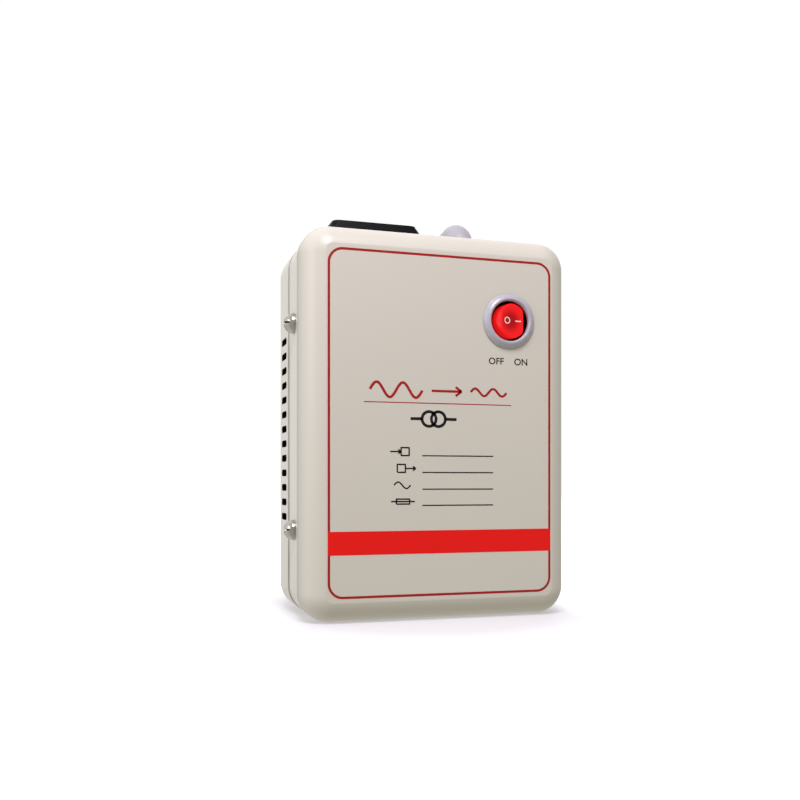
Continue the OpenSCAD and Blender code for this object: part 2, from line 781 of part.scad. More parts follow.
// Bent boot that leads the cord out of the case top and to the back
module strain_relief() {
    taper = (boot_d - boot_tip_d) / 2 / boot_len;
    color(pale_grey) {
        translate([boot_x, boot_y, case_h]) cylinder(d = collar_d, h = collar_h);
        translate([boot_x, boot_y, case_h - neck_len]) cylinder(d = neck_d, h = neck_len + collar_h);
        translate([boot_x, boot_y, case_h - lip_end - hole_gap - ring_t])
            cylinder(d = neck_d + 2 * ring_t, h = ring_t);
        translate([boot_x, boot_y + boot_bend, case_h]) rotate([90, 0, -90])
            rotate_extrude(angle = 90) translate([boot_bend, 0]) circle(boot_d / 2);
        translate([boot_x, boot_y + boot_bend, boot_z]) rotate([-90, 0, 0]) difference() {
            cylinder(d1 = boot_d, d2 = boot_tip_d, h = boot_len);
            for (i = [1 : boot_rings]) {
                groove_r = boot_d / 2 - taper * i * boot_ring_pitch - boot_groove;
                translate([0, 0, i * boot_ring_pitch]) rotate_extrude()
                    translate([groove_r, 0]) square([boot_d, 2 * boot_groove]);
            }
        }
    }
}

// Unit vector
function unit(v) = v / norm(v);

// Direction of a route at its point i
function heading(route, i) = unit(route[min(i + 1, len(route) - 1)] - route[max(i - 1, 0)]);

// Ring of points round a route at its point i, with its first side turned towards aim
function ring(route, i, d, sides, aim) =
    let (
        ahead = heading(route, i),
        across = unit(aim - (aim * ahead) * ahead),
        up = cross(ahead, across)
    )
    [for (k = [0 : sides - 1])
        route[i] + d / 2 * (cos(360 * k / sides) * across + sin(360 * k / sides) * up)];

// Tube along a route, as one closed solid
module tube(route, d, sides, aim) {
    last = len(route) - 1;
    points = [for (i = [0 : last]) each ring(route, i, d, sides, aim)];
    walls = [for (i = [0 : last - 1], k = [0 : sides - 1])
        let (a = i * sides + k, b = i * sides + (k + 1) % sides)
        each [[a, a + sides, b], [b, a + sides, b + sides]]];
    caps = [for (k = [1 : sides - 2])
        each [[0, k, k + 1], [last * sides, last * sides + k + 1, last * sides + k]]];
    polyhedron(points, concat(walls, caps));
}

module cord_stretch() { color(pale_grey) tube(stretch_route, cord_d, cord_sides, [1, 0, 0]); }

module cord_coil() { color(pale_grey) tube(coil_route, cord_d, coil_sides, [0, 0, 1]); }

module cord_tail() { color(pale_grey) tube(tail_route, cord_d, cord_sides, [0, 0, 1]); }

// Least gap between two places on the coil that lie at least half a loop apart
coil_self_gap = min([for (i = [0 : len(coil_route) - 1], k = [i + coil_steps / 2 : len(coil_route) - 1])
    norm(coil_route[k] - coil_route[i])]) - cord_d;
echo(coil_self_gap = coil_self_gap);

// Strap round the loops on the right of the coil
module coil_tie() {
    tie_span = tie_high_r - tie_low_r;
    color(black_plastic) translate([coil_centre[0] + (tie_low_r + tie_high_r) / 2, coil_centre[1], tie_t + tie_room / 2])
        rotate([90, 0, 0]) linear_extrude(tie_w, center = true) difference() {
            rounded_rect(tie_span + 2 * tie_t, tie_room + 2 * tie_t, tie_round + tie_t);
            rounded_rect(tie_span, tie_room, tie_round);
        }
}

// Moves a part drawn along +z to the plug, which points to -X
module at_plug() { translate(plug_entry) rotate([0, -90, 0]) children(); }

// Flat plug body with a tapered boot round the cord
module plug_body() {
    color(pale_grey) at_plug() difference() {
        union() {
            cylinder(d1 = plug_boot_tip, d2 = plug_boot_d, h = plug_boot_len + plug_corner);
            translate([0, 0, plug_boot_len]) linear_extrude(plug_len) rounded_rect(plug_t, plug_w, plug_corner);
        }
        for (side = [-1, 1]) translate([0, side * pin_span / 2, plug_boot_len + plug_len - pin_root])
            cylinder(d = pin_root_d, h = pin_root + cut);
    }
}

// Two round pins with domed tips, each on a thinner root moulded into the body
module plug_pins() {
    color(nickel) at_plug() for (side = [-1, 1])
        translate([0, side * pin_span / 2, plug_boot_len + plug_len - pin_root]) {
            cylinder(d = pin_root_d, h = pin_root);
            translate([0, 0, pin_root]) cylinder(d = pin_d, h = pin_len - pin_d / 2);
            translate([0, 0, pin_root + pin_len - pin_d / 2]) sphere(d = pin_d);
        }
}

// Holes through the core's corners
module bolt_holes() {
    for (spot = bolt_spots) translate([spot[0], spot[1], core_z - stack])
        cylinder(d = bolt_d + 2 * hole_gap, h = 2 * stack);
}

// Plate of the core between two corners, as thick as the stack
module core_plate(x, y, w, h) {
    translate([x, core_up + y, core_z - stack / 2]) cube([w, h, stack]);
}

// E-shaped stack: the lower yoke and three legs
module core_e() {
    leg_h = core_h - leg_w;
    color(steel) upright() difference() {
        union() {
            core_plate(-core_w / 2, 0, core_w, leg_w);
            core_plate(-core_w / 2, 0, leg_w, leg_h);
            core_plate(-leg_w, 0, 2 * leg_w, leg_h);
            core_plate(core_w / 2 - leg_w, 0, leg_w, leg_h);
        }
        bolt_holes();
    }
}

// I-shaped stack: the upper yoke
module core_i() {
    color(steel) upright() difference() {
        core_plate(-core_w / 2, core_h - leg_w, core_w, leg_w);
        bolt_holes();
    }
}

// Frame of rounded outline round the middle leg, between two distances from it
module leg_frame(y, h, inner, outer) {
    translate([0, y, core_z]) rotate([-90, 0, 0]) linear_extrude(h) difference() {
        rounded_rect(2 * leg_w + 2 * outer, stack + 2 * outer, leg_round + outer / 2);
        rounded_rect(2 * leg_w + 2 * inner, stack + 2 * inner, leg_round + inner / 2);
    }
}

module bobbin() {
    color("ivory") upright() {
        leg_frame(bobbin_y, bobbin_h, bobbin_fit, tube_out);
        leg_frame(bobbin_y, bobbin_t, bobbin_fit, flange_out);
        leg_frame(bobbin_y + bobbin_h - bobbin_t, bobbin_t, bobbin_fit, flange_out);
    }
}

module primary_winding() { color(copper) upright() leg_frame(winding_y, winding_h, tube_out, primary_out); }

module output_winding() { color(copper) upright() leg_frame(winding_y, winding_h, primary_out + winding_gap, output_out); }

module winding_wrap() { color(tape_yellow) upright() leg_frame(winding_y, winding_h, output_out, wrap_out); }

// Heat cut-out lying on the front of the wrap
module thermal_cutout() {
    color("white") upright()
        translate([-cutout_size[0] / 2, winding_y + winding_h / 2, core_z + stack / 2 + wrap_out])
            cube(cutout_size);
}

module core_bolts() {
    color(nickel) upright() for (spot = bolt_spots) translate([spot[0], spot[1], -front_z]) {
        mirror([0, 0, 1]) pan_head(bolt_head_d, bolt_head_h, screw_rim);
        cylinder(d = bolt_d, h = case_d - core_front + nut_h + bolt_spare);
    }
}

module core_nuts() {
    color(nickel) upright() for (spot = bolt_spots) translate([spot[0], spot[1], face(core_front)]) difference() {
        cylinder(d = nut_w / cos(30), h = nut_h, $fn = 6);
        translate([0, 0, -cut]) cylinder(d = bolt_d + 2 * hole_gap, h = nut_h + 2 * cut);
    }
}

// Moves a part to the front of the terminal board
module at_board() { upright() translate([board_at[0], board_at[1], board_front]) children(); }

module terminal_board() {
    color(board_tan) at_board() difference() {
        translate([0, 0, -board_size[2] / 2]) cube(board_size, center = true);
        for (side = [-1, 1]) translate([side * board_hole_span / 2, 0, -board_size[2] - cut])
            cylinder(d = board_screw_d + 2 * hole_gap, h = board_size[2] + 2 * cut);
    }
}

module board_screws() {
    shank = board_size[2] + board_post_h - hole_gap;
    color(nickel) at_board() for (side = [-1, 1]) translate([side * board_hole_span / 2, 0, 0]) {
        pan_head(board_head_d, board_head_h, board_head_h / 2);
        translate([0, 0, -shank]) cylinder(d = board_screw_d, h = shank);
    }
}

// Two open clips that hold the fuse by its caps
module fuse_clips() {
    color(brass) at_board() for (side = [-1, 1])
        translate([side * (fuse_len - clip_len) / 2, 0, 0]) rotate([0, 90, 0])
            linear_extrude(clip_len, center = true) difference() {
                union() {
                    translate([-fuse_up, 0]) circle(d = clip_out);
                    translate([-fuse_up, -fuse_d / 4]) square([fuse_up, fuse_d / 2]);
                }
                translate([-fuse_up, 0]) circle(d = fuse_d + 2 * hole_gap);
                translate([-fuse_up - fuse_d, -fuse_d / 4]) square([fuse_d, fuse_d / 2]);
            }
}

module fuse() {
    color("lightblue") at_board() translate([0, 0, fuse_up]) rotate([0, 90, 0])
        cylinder(d = fuse_d, h = fuse_len, center = true);
}

// Point of a smooth curve that leaves a along out_a and arrives at b against out_b
function bend(a, out_a, b, out_b, t) =
    pow(1 - t, 3) * a + 3 * t * pow(1 - t, 2) * (a + out_a)
    + 3 * pow(t, 2) * (1 - t) * (b + out_b) + pow(t, 3) * b;

// Insulated lead between two ends, straight for half its diameter at each
module lead(a, out_a, b, out_b) {
    start = a + lead_d / 2 * unit(out_a);
    end = b + lead_d / 2 * unit(out_b);
    curve = [for (i = [0 : lead_steps]) bend(start, out_a, end, out_b, i / lead_steps)];
    tube(concat([a], curve, [b]), lead_d, lead_sides, [1, 0, 0]);
}

// From the cord to the fuse and the switch, and on to the primary winding
module supply_leads() {
    to_fuse = 14;
    to_switch = 12;
    from_fuse = [10, 16];
    to_winding = [10, 30];
    color("sienna") {
        lead(neck_end - [lead_gap / 2, 0, 0], [0, 0, -to_fuse], clip_top(-1), [0, 0, to_fuse]);
        lead(neck_end + [lead_gap / 2, 0, 0], [0, 0, -to_switch], tab_end(0), [0, to_switch, 0]);
        lead(clip_top(1), [0, 0, from_fuse[0]], tab_end(1), [0, from_fuse[1], 0]);
        lead(tab_end(-1), [0, to_winding[0], 0], flange_spot(primary_spot), [0, 0, to_winding[1]]);
    }
}

// From the output winding to the socket's contacts
module output_leads() {
    reach = (contact_foot(1)[2] - flange_spot(0)[2]) / 2;
    color("navy") for (k = [0, 1])
        lead(flange_spot(output_spots[k]), [0, 0, reach], contact_foot(1 - 2 * k), [0, 0, -reach]);
}

front_cover();
rear_cover();
side_screws();
switch_bezel();
switch_housing();
switch_rocker();
switch_lamp();
switch_plunger();
switch_blade();
switch_terminals();
socket_frame();
socket_insert();
socket_contacts();
earth_contact();
strain_relief();
cord_stretch();
cord_coil();
coil_tie();
cord_tail();
plug_body();
plug_pins();
core_e();
core_i();
bobbin();
primary_winding();
output_winding();
winding_wrap();
thermal_cutout();
core_bolts();
core_nuts();
terminal_board();
board_screws();
fuse_clips();
fuse();
supply_leads();
output_leads();
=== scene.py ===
"""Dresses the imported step-down voltage converter for its studio picture.

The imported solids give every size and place. The solids that show are replaced by smooth surfaces
worked out with numpy, in millimetres in the CAD frame: the origin is the middle of the base, +Z is
up and the front faces -Y. Meshes are written in metres.
"""
from __future__ import annotations

import logging
from dataclasses import dataclass, field
from enum import Enum
from typing import Any, Mapping, Optional, Sequence, Union

import bmesh
import bpy
import numpy as np
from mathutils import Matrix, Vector

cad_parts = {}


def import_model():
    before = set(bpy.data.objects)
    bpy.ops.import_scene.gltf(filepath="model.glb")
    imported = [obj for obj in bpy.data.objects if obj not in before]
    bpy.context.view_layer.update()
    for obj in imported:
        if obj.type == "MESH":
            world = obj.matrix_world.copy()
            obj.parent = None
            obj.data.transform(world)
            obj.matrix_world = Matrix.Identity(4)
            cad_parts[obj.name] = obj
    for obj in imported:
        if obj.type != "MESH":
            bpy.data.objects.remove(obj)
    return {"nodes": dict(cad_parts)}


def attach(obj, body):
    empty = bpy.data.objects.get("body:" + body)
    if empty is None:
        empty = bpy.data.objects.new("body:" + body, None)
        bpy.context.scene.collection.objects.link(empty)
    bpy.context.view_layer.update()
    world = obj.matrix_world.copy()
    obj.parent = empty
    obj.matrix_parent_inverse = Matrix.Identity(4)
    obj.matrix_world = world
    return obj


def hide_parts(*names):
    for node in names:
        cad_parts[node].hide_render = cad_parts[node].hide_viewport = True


LOG = logging.getLogger("converter")
MM = 0.001
MERGE_DISTANCE = 1e-7

# Sizes and places that several pieces share, in millimetres
CASE_W, CASE_H, CASE_D = 115.0, 160.0, 72.0
FACE_Y = -CASE_D / 2
SWITCH_X, SWITCH_Z = 29.0, 124.0
SOCKET_AT = (-24.0, -1.0)
BOOT_AT = (20.0, -2.0)
SCREW_Y = -7.5
SCREW_HEIGHTS = (36.7, 123.3)

Pair = tuple[float, float]
Triple = tuple[float, float, float]
Colour = Triple


class Body(Enum):
    """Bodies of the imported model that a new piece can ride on."""

    CASE = "case"
    ROCKER = "rocker"


# Surfaces


@dataclass
class Surface:
    """Points in millimetres and the faces between them."""

    points: np.ndarray
    faces: list[tuple[int, ...]]

    def moved(self, offset: Sequence[float]) -> Surface:
        """Returns a copy shifted by an offset."""
        return Surface(self.points + np.asarray(offset, float), self.faces)

    def turned(self, matrix: np.ndarray) -> Surface:
        """Returns a copy with its points multiplied by a 3 by 3 matrix."""
        return Surface(self.points @ np.asarray(matrix, float).T, self.faces)

    @staticmethod
    def joined(parts: Sequence[Surface]) -> Surface:
        """Puts several surfaces into one, side by side.

        Args:
            parts: The surfaces, which keep their own points.

        Returns:
            One surface whose face numbers are shifted part by part.
        """
        starts = np.cumsum([0] + [len(part.points) for part in parts])
        faces = [
            tuple(int(i + start) for i in face)
            for part, start in zip(parts, starts)
            for face in part.faces
        ]
        return Surface(np.concatenate([part.points for part in parts]), faces)


def loft(rings: np.ndarray, closed: bool = False) -> Surface:
    """Skin of quads over a stack of closed rings, with a flat cap at both ends of an open stack.

    Args:
        rings: Array of shape (rings, points, 3).
        closed: Whether the last ring joins the first.

    Returns:
        The skin as a surface.
    """
    count, around = rings.shape[:2]
    row, column = np.meshgrid(np.arange(count if closed else count - 1), np.arange(around), indexing="ij")
    below, beside = (row + 1) % count * around, (column + 1) % around
    row = row * around
    quads = np.stack([row + column, row + beside, below + beside, below + column], axis=-1)
    faces = [tuple(quad) for quad in quads.reshape(-1, 4).tolist()]
    if not closed:
        faces.append(tuple(range(around)))
        faces.append(tuple(range((count - 1) * around, count * around)))
    return Surface(rings.reshape(-1, 3), faces)


def arc(centre: Sequence[float], radius: float, start: float, end: float, steps: int) -> np.ndarray:
    """Points at centre + radius (cos, sin) for evenly spaced angles.

    Args:
        centre: Centre of the arc.
        radius: Radius of the arc.
        start: First angle in degrees.
        end: Last angle in degrees.
        steps: Number of points.

    Returns:
        Array of shape (steps, 2).
    """
    angle = np.radians(np.linspace(start, end, steps))
    return np.asarray(centre, float) + radius * np.stack([np.cos(angle), np.sin(angle)], axis=-1)


def rounded_outlines(
    half: Sequence[float], radius: float, insets: Sequence[float], steps: int
) -> np.ndarray:
    """Loops round a rectangle with round corners: corner centres + (radius - inset) directions.

    Args:
        half: Half width and half height.
        radius: Corner radius.
        insets: How far each loop lies inside the rectangle.
        steps: Points on each corner.

    Returns:
        Array of shape (insets, 4 * steps, 2), each loop anticlockwise.
    """
    corners = np.array([(1, 1), (-1, 1), (-1, -1), (1, -1)], float)
    hubs = np.repeat(corners * (np.asarray(half, float) - radius), steps, axis=0)
    ways = np.concatenate([arc((0, 0), 1, 90 * i, 90 * (i + 1), steps) for i in range(4)])
    return hubs + (radius - np.asarray(insets, float))[:, None, None] * ways


def rounded_outline(half: Sequence[float], radius: float, steps: int) -> np.ndarray:
    """Loop round a rectangle with round corners, as an array of shape (4 * steps, 2)."""
    return rounded_outlines(half, radius, [0.0], steps)[0]


def level(outline: np.ndarray, height: float, axis: int = 2) -> np.ndarray:
    """Points of a flat outline, with a constant as their coordinate on one axis."""
    return np.insert(np.asarray(outline, float), axis, height, axis=1)


def prism(outline: np.ndarray, low: float, high: float, axis: int = 2) -> Surface:
    """Bar with a flat outline as its section, between two places along an axis."""
    return loft(np.stack([level(outline, low, axis), level(outline, high, axis)]))


def box_surface(low: Triple, high: Triple) -> Surface:
    """Box between its lowest and its highest corner."""
    (x, y), (far_x, far_y) = low[:2], high[:2]
    return prism(np.array([(x, y), (far_x, y), (far_x, far_y), (x, far_y)]), low[2], high[2])


def revolve(profile: np.ndarray, segments: int, closed: bool = False) -> Surface:
    """Turns a profile of (radius, height) about Z.

    Args:
        profile: Array of shape (points, 2). A radius of zero closes a pole.
        segments: Steps round the axis.
        closed: Whether the profile is a loop, as for a ring.

    Returns:
        The turned surface.
    """
    angle = np.linspace(0, 2 * np.pi, segments, endpoint=False)
    radius, height = profile[:, :1], profile[:, 1:]
    rings = np.stack(
        [radius * np.cos(angle), radius * np.sin(angle), np.broadcast_to(height, (len(profile), segments))],
        axis=-1,
    )
    return loft(rings, closed)


def spline(points: np.ndarray, steps: int) -> np.ndarray:
    """Smooth curve through points: Hermite cubics whose slope at a point is a blend of its two
    neighbouring chords, in which the shorter chord counts for more.

    Args:
        points: Array of shape (points, 3).
        steps: Pieces that each chord is divided into.

    Returns:
        Array of shape ((points - 1) * steps + 1, 3).
    """
    chord = np.diff(points, axis=0)
    length = np.linalg.norm(chord, axis=1, keepdims=True)
    slope = chord / length
    before, after = length[:-1], length[1:]
    inner = (slope[:-1] * after + slope[1:] * before) / (before + after)
    tangent = np.concatenate([slope[:1], inner, slope[-1:]])
    t = np.linspace(0, 1, steps, endpoint=False)[None, :, None]
    a, b = points[:-1, None], points[1:, None]
    m, n = (tangent[:-1] * length)[:, None], (tangent[1:] * length)[:, None]
    curve = (
        (2 * t**3 - 3 * t**2 + 1) * a
        + (t**3 - 2 * t**2 + t) * m
        + (3 * t**2 - 2 * t**3) * b
        + (t**3 - t**2) * n
    )
    return np.concatenate([curve.reshape(-1, 3), points[-1:]])


def sweep(path: np.ndarray, radius: Union[float, np.ndarray], sides: int) -> Surface:
    """Round tube along a path: point + radius (cos across + sin up), where the two vectors across
    the path are carried from point to point without twist.

    Args:
        path: Array of shape (points, 3).
        radius: One radius, or one for each point.
        sides: Points round the tube.

    Returns:
        The tube with flat ends.
    """
    ahead = np.gradient(path, axis=0)
    ahead /= np.linalg.norm(ahead, axis=1, keepdims=True)
    guide = np.eye(3)[np.argmin(np.abs(ahead[0]))]
    across = np.empty_like(path)
    for i, direction in enumerate(ahead):
        guide = guide - direction * (guide @ direction)
        guide = guide / np.linalg.norm(guide)
        across[i] = guide
    up = np.cross(ahead, across)
    angle = np.linspace(0, 2 * np.pi, sides, endpoint=False)[None, :, None]
    reach = np.broadcast_to(np.asarray(radius, float), (len(path),))[:, None, None]
    return loft(path[:, None] + reach * (np.cos(angle) * across[:, None] + np.sin(angle) * up[:, None]))


# Turns a surface drawn in the face frame (x right, y up, z towards the viewer) to stand upright
UPRIGHT = np.array([[1, 0, 0], [0, 0, -1], [0, 1, 0]], float)


def spin(axis: int, degrees: float) -> np.ndarray:
    """Matrix that turns about a main axis by the right-hand rule.

    Args:
        axis: 0, 1 or 2 for X, Y or Z.
        degrees: Angle of the turn.

    Returns:
        A 3 by 3 matrix.
    """
    angle = np.radians(degrees)
    first, second = (axis + 1) % 3, (axis + 2) % 3
    matrix = np.eye(3)
    matrix[first, first] = matrix[second, second] = np.cos(angle)
    matrix[second, first] = np.sin(angle)
    matrix[first, second] = -np.sin(angle)
    return matrix


# Shader graphs


class Value:
    """A number that a node gives out. Python's operators on it add Math nodes."""

    def __init__(self, graph: Graph, socket: bpy.types.NodeSocket) -> None:
        """Keeps the graph that new nodes go to, and the socket."""
        self.graph = graph
        self.socket = socket

    def _math(self, operation: str, *inputs: Any) -> Value:
        """Adds a Math node."""
        return self.graph.node("ShaderNodeMath", {"operation": operation}, dict(enumerate(inputs)))

    def __add__(self, other: Any) -> Value:
        """Sum."""
        return self._math("ADD", self, other)

    __radd__ = __add__

    def __rsub__(self, other: Any) -> Value:
        """Difference from a number."""
        return self._math("SUBTRACT", other, self)

    def __mul__(self, other: Any) -> Value:
        """Product."""
        return self._math("MULTIPLY", self, other)

    def __abs__(self) -> Value:
        """Size without its sign."""
        return self._math("ABSOLUTE", self)

    def sine(self) -> Value:
        """Sine of an angle in radians."""
        return self._math("SINE", self)

    def larger(self, other: Any) -> Value:
        """The larger of two numbers."""
        return self._math("MAXIMUM", self, other)

    def step(self, low: float, high: float) -> Value:
        """Smooth step from 0 at low to 1 at high."""
        return self.graph.node(
            "ShaderNodeMapRange",
            {"interpolation_type": "SMOOTHSTEP"},
            {"Value": self, "From Min": low, "From Max": high},
        )


class Graph:
    """Nodes of one material or world, with one method that adds any node."""

    def __init__(self, owner: Union[bpy.types.Material, bpy.types.World]) -> None:
        """Empties the owner's node tree.

        Args:
            owner: The material or world that the nodes belong to.
        """
        owner.use_nodes = True
        self.owner = owner
        self.tree = owner.node_tree
        self.tree.nodes.clear()

    def node(
        self,
        kind: str,
        settings: Optional[Mapping[str, Any]] = None,
        inputs: Optional[Mapping[Union[str, int], Any]] = None,
        output: Union[str, int] = 0,
    ) -> Value:
        """Adds a node.

        Args:
            kind: The node's Blender type.
            settings: Its own properties.
            inputs: Numbers, colours or values for its sockets, by name or place.
            output: The socket that is given back.

        Returns:
            The chosen output.
        """
        made = self.tree.nodes.new(kind)
        for key, setting in (settings or {}).items():
            setattr(made, key, setting)
        for key, value in (inputs or {}).items():
            if isinstance(value, Value):
                self.tree.links.new(value.socket, made.inputs[key])
            else:
                made.inputs[key].default_value = value
        return Value(self, made.outputs[output])

    def ramp(self, factor: Value, stops: Sequence[tuple[float, Colour]]) -> Value:
        """Colour ramp with two stops, in rising order.

        Args:
            factor: The number that the ramp turns into a colour.
            stops: Position and colour of each stop.

        Returns:
            The colour.
        """
        made = self.node("ShaderNodeValToRGB", {}, {"Fac": factor}, "Color")
        for element, (position, colour) in zip(made.socket.node.color_ramp.elements, stops):
            element.position = position
            element.color = (*colour, 1.0)
        return made

    def place(self) -> Value:
        """Object coordinates."""
        return self.node("ShaderNodeTexCoord", output="Object")

    def axis(self, name: str) -> Value:
        """One coordinate of the place on the piece, in metres."""
        return self.node("ShaderNodeSeparateXYZ", {}, {0: self.place()}, name)

    def mix(self, factor: Any, first: Any, second: Any) -> Value:
        """Blend of two colours.

        Args:
            factor: Share of the second colour.
            first: A colour or a value that holds one.
            second: A colour or a value that holds one.

        Returns:
            The blended colour.
        """
        made = self.tree.nodes.new("ShaderNodeMix")
        made.data_type = "RGBA"
        wanted = {"Factor_Float": factor, "A_Color": first, "B_Color": second}
        for socket in made.inputs:
            value = wanted.get(socket.identifier)
            if isinstance(value, Value):
                self.tree.links.new(value.socket, socket)
            elif value is not None:
                socket.default_value = (*value, 1.0)
        return Value(self, next(s for s in made.outputs if s.identifier == "Result_Color"))

    def end(self, shader: str, output: str, inputs: Mapping[str, Any]) -> None:
        """Ends the graph in a shader.

        Args:
            shader: Type of the shader node.
            output: Type of the output node.
            inputs: Values for the shader's sockets.
        """
        made = self.tree.nodes.new(output)
        self.tree.links.new(self.node(shader, {}, inputs).socket, made.inputs["Surface"])

    def surface(self, inputs: Mapping[str, Any]) -> bpy.types.Material:
        """Ends a material's graph in a Principled shader and gives the material back."""
        self.end("ShaderNodeBsdfPrincipled", "ShaderNodeOutputMaterial", inputs)
        return self.owner


def linear(red: float, green: float, blue: float) -> Colour:
    """Linear colour from display values of 0 to 255, by the display's usual curve.

    Args:
        red: Display value of red.
        green: Display value of green.
        blue: Display value of blue.

    Returns:
        The three linear shares.
    """
    display = np.array([red, green, blue], float) / 255
    light = np.where(display <= 0.04045, display / 12.92, ((display + 0.055) / 1.055) ** 2.4)
    return tuple(float(x) for x in light)


# Finishes


@dataclass(frozen=True)
class Mottle:
    """Noise on Object coordinates: cells in a metre, octaves, share of the roughness and stretch."""

    cells: float
    detail: float = 2.0
    gloss: float = 0.0
    stretch: Triple = (1.0, 1.0, 1.0)

    def on(self, graph: Graph) -> Value:
        """Adds the noise to a graph.

        Args:
            graph: The material's graph.

        Returns:
            A number about one half.
        """
        spot = graph.node("ShaderNodeMapping", {}, {"Vector": graph.place(), "Scale": self.stretch})
        inputs = {"Vector": spot, "Scale": self.cells, "Detail": self.detail}
        return graph.node("ShaderNodeTexNoise", {}, inputs, "Fac")


@dataclass(frozen=True)
class Finish:
    """A finish with its name, the record's slot that it belongs to and its main colour.

    Wide noise changes its tone and gloss, and fine noise its gloss and relief. The relief is the
    bump's strength and its height in metres, and smooth is the least roughness.
    """

    name: str
    slot: str
    colour: Colour
    wide: Mottle = Mottle(60.0)
    fine: Mottle = Mottle(900.0)
    change: float = 0.05
    smooth: float = 0.3
    relief: Pair = (0.1, 2e-5)
    metallic: float = 0.0
    specular: float = 0.5
    coat: float = 0.0
    coat_rough: float = 0.03

    def material(self) -> bpy.types.Material:
        """Gives the material, made on its first use, under a name that no packed material has."""
        label = f"{self.name}_finish"
        return bpy.data.materials.get(label) or self.build(Graph(bpy.data.materials.new(label)))

    def shades(self, graph: Graph, mask: Value) -> Value:
        """Colour that varies a little about the main one.

        Args:
            graph: The material's graph.
            mask: A number from 0 to 1 over the surface.

        Returns:
            The varied colour.
        """
        dark = tuple(c * (1 - self.change) for c in self.colour)
        light = tuple(min(1.0, c * (1 + self.change)) for c in self.colour)
        return graph.mix(mask, dark, light)

    def grain(self, graph: Graph) -> Value:
        """Height of the relief."""
        return self.fine.on(graph)

    def tone(self, graph: Graph, wide: Value, fine: Value) -> Value:
        """Base colour from both noises."""
        return self.shades(graph, wide)

    def extra(self, graph: Graph) -> dict[str, Any]:
        """Further sockets of the shader."""
        return {}

    def build(self, graph: Graph) -> bpy.types.Material:
        """Fills the graph.

        Args:
            graph: The new material's graph.

        Returns:
            The finished material.
        """
        wide, fine = self.wide.on(graph), self.grain(graph)
        strength, height = self.relief
        relief = {"Height": fine, "Strength": strength, "Distance": height}
        glosses = ((wide, self.wide.gloss), (fine, self.fine.gloss))
        return graph.surface(
            {
                "Base Color": self.tone(graph, wide, fine),
                "Roughness": sum((noise * gloss for noise, gloss in glosses if gloss), self.smooth),
                "Metallic": self.metallic,
                "Specular IOR Level": self.specular,
                "Coat Weight": self.coat,
                "Coat Roughness": self.coat_rough,
                "Normal": graph.node("ShaderNodeBump", {}, relief, "Normal"),
                **self.extra(graph),
            }
        )


@dataclass(frozen=True)
class Paint(Finish):
    """Sprayed gloss paint: a clear coat, faint orange peel, and painted shade in the seams of the sides.

    Each band of painted shade has a place along Y where it starts, is thickest and ends, and its depth.
    """

    wide: Mottle = Mottle(14.0, 3.0, 0.06)
    fine: Mottle = Mottle(420.0, 1.0)
    change: float = 0.025
    smooth: float = 0.35
    relief: Pair = (0.25, 4e-5)
    specular: float = 0.45
    coat: float = 0.1
    coat_rough: float = 0.3
    painted_shade: tuple[tuple[float, float, float, float], ...] = ()
    painted_shade_dark: float = 0.35
    painted_shade_side: Pair = (0.046, 0.053)

    def tone(self, graph: Graph, wide: Value, fine: Value) -> Value:
        """Base colour, darkened towards the sides by painted shade in the seams.

        Args:
            graph: The material's graph.
            wide: The wide noise.
            fine: The fine noise.

        Returns:
            The colour.
        """
        base = self.shades(graph, wide)
        dark = tuple(self.painted_shade_dark * value for value in self.colour)
        # Painted shade: each band darkens the paint where shade falls in a seam, such as the step behind the
        # cap and the gap between the shells.
        for start, peak, end, depth in self.painted_shade:
            thick = graph.axis("Y").step(start, peak) * (1 - graph.axis("Y").step(peak, end))
            base = graph.mix(thick * abs(graph.axis("X")).step(*self.painted_shade_side) * depth, base, dark)
        return base


@dataclass(frozen=True)
class Plastic(Finish):
    """Moulded plastic: a fine spark-eroded grain, with some places rubbed smoother."""

    wide: Mottle = Mottle(60.0, 3.0, 0.12)
    fine: Mottle = Mottle(2600.0, 2.0, 0.05)
    change: float = 0.08
    smooth: float = 0.37
    relief: Pair = (0.3, 3e-5)
    specular: float = 0.45


@dataclass(frozen=True)
class Metal(Finish):
    """Plated or rolled metal: cloudy, with fine lines across the Z axis."""

    wide: Mottle = Mottle(220.0, 2.0, 0.06)
    fine: Mottle = Mottle(900.0, 2.0, 0.1, (1.0, 1.0, 12.0))
    change: float = 0.06
    smooth: float = 0.16
    relief: Pair = (0.08, 2e-5)
    metallic: float = 1.0


@dataclass(frozen=True)
class Vinyl(Finish):
    """Soft vinyl of a cord or its boot: satin and a little translucent, with faint flow marks."""

    wide: Mottle = Mottle(90.0, 3.0, 0.14)
    fine: Mottle = Mottle(1800.0, 1.0)
    change: float = 0.035
    smooth: float = 0.33
    relief: Pair = (0.15, 2e-5)
    inner_glow: float = 0.06
    inner_reach: Triple = (0.004, 0.0035, 0.003)

    def extra(self, graph: Graph) -> dict[str, Any]:
        """Light that spreads under the skin."""
        return {"Subsurface Weight": self.inner_glow, "Subsurface Radius": self.inner_reach}


@dataclass(frozen=True)
class Ink(Finish):
    """Screen-printed ink: a little uneven in depth and gloss."""

    wide: Mottle = Mottle(70.0, 3.0, 0.12)
    fine: Mottle = Mottle(1500.0, 2.0)
    change: float = 0.07
    smooth: float = 0.32
    relief: Pair = (0.12, 1e-5)
    specular: float = 0.25

    def tone(self, graph: Graph, wide: Value, fine: Value) -> Value:
        """Depth of colour from both noises."""
        return self.shades(graph, fine * 0.5 + wide * 0.5)


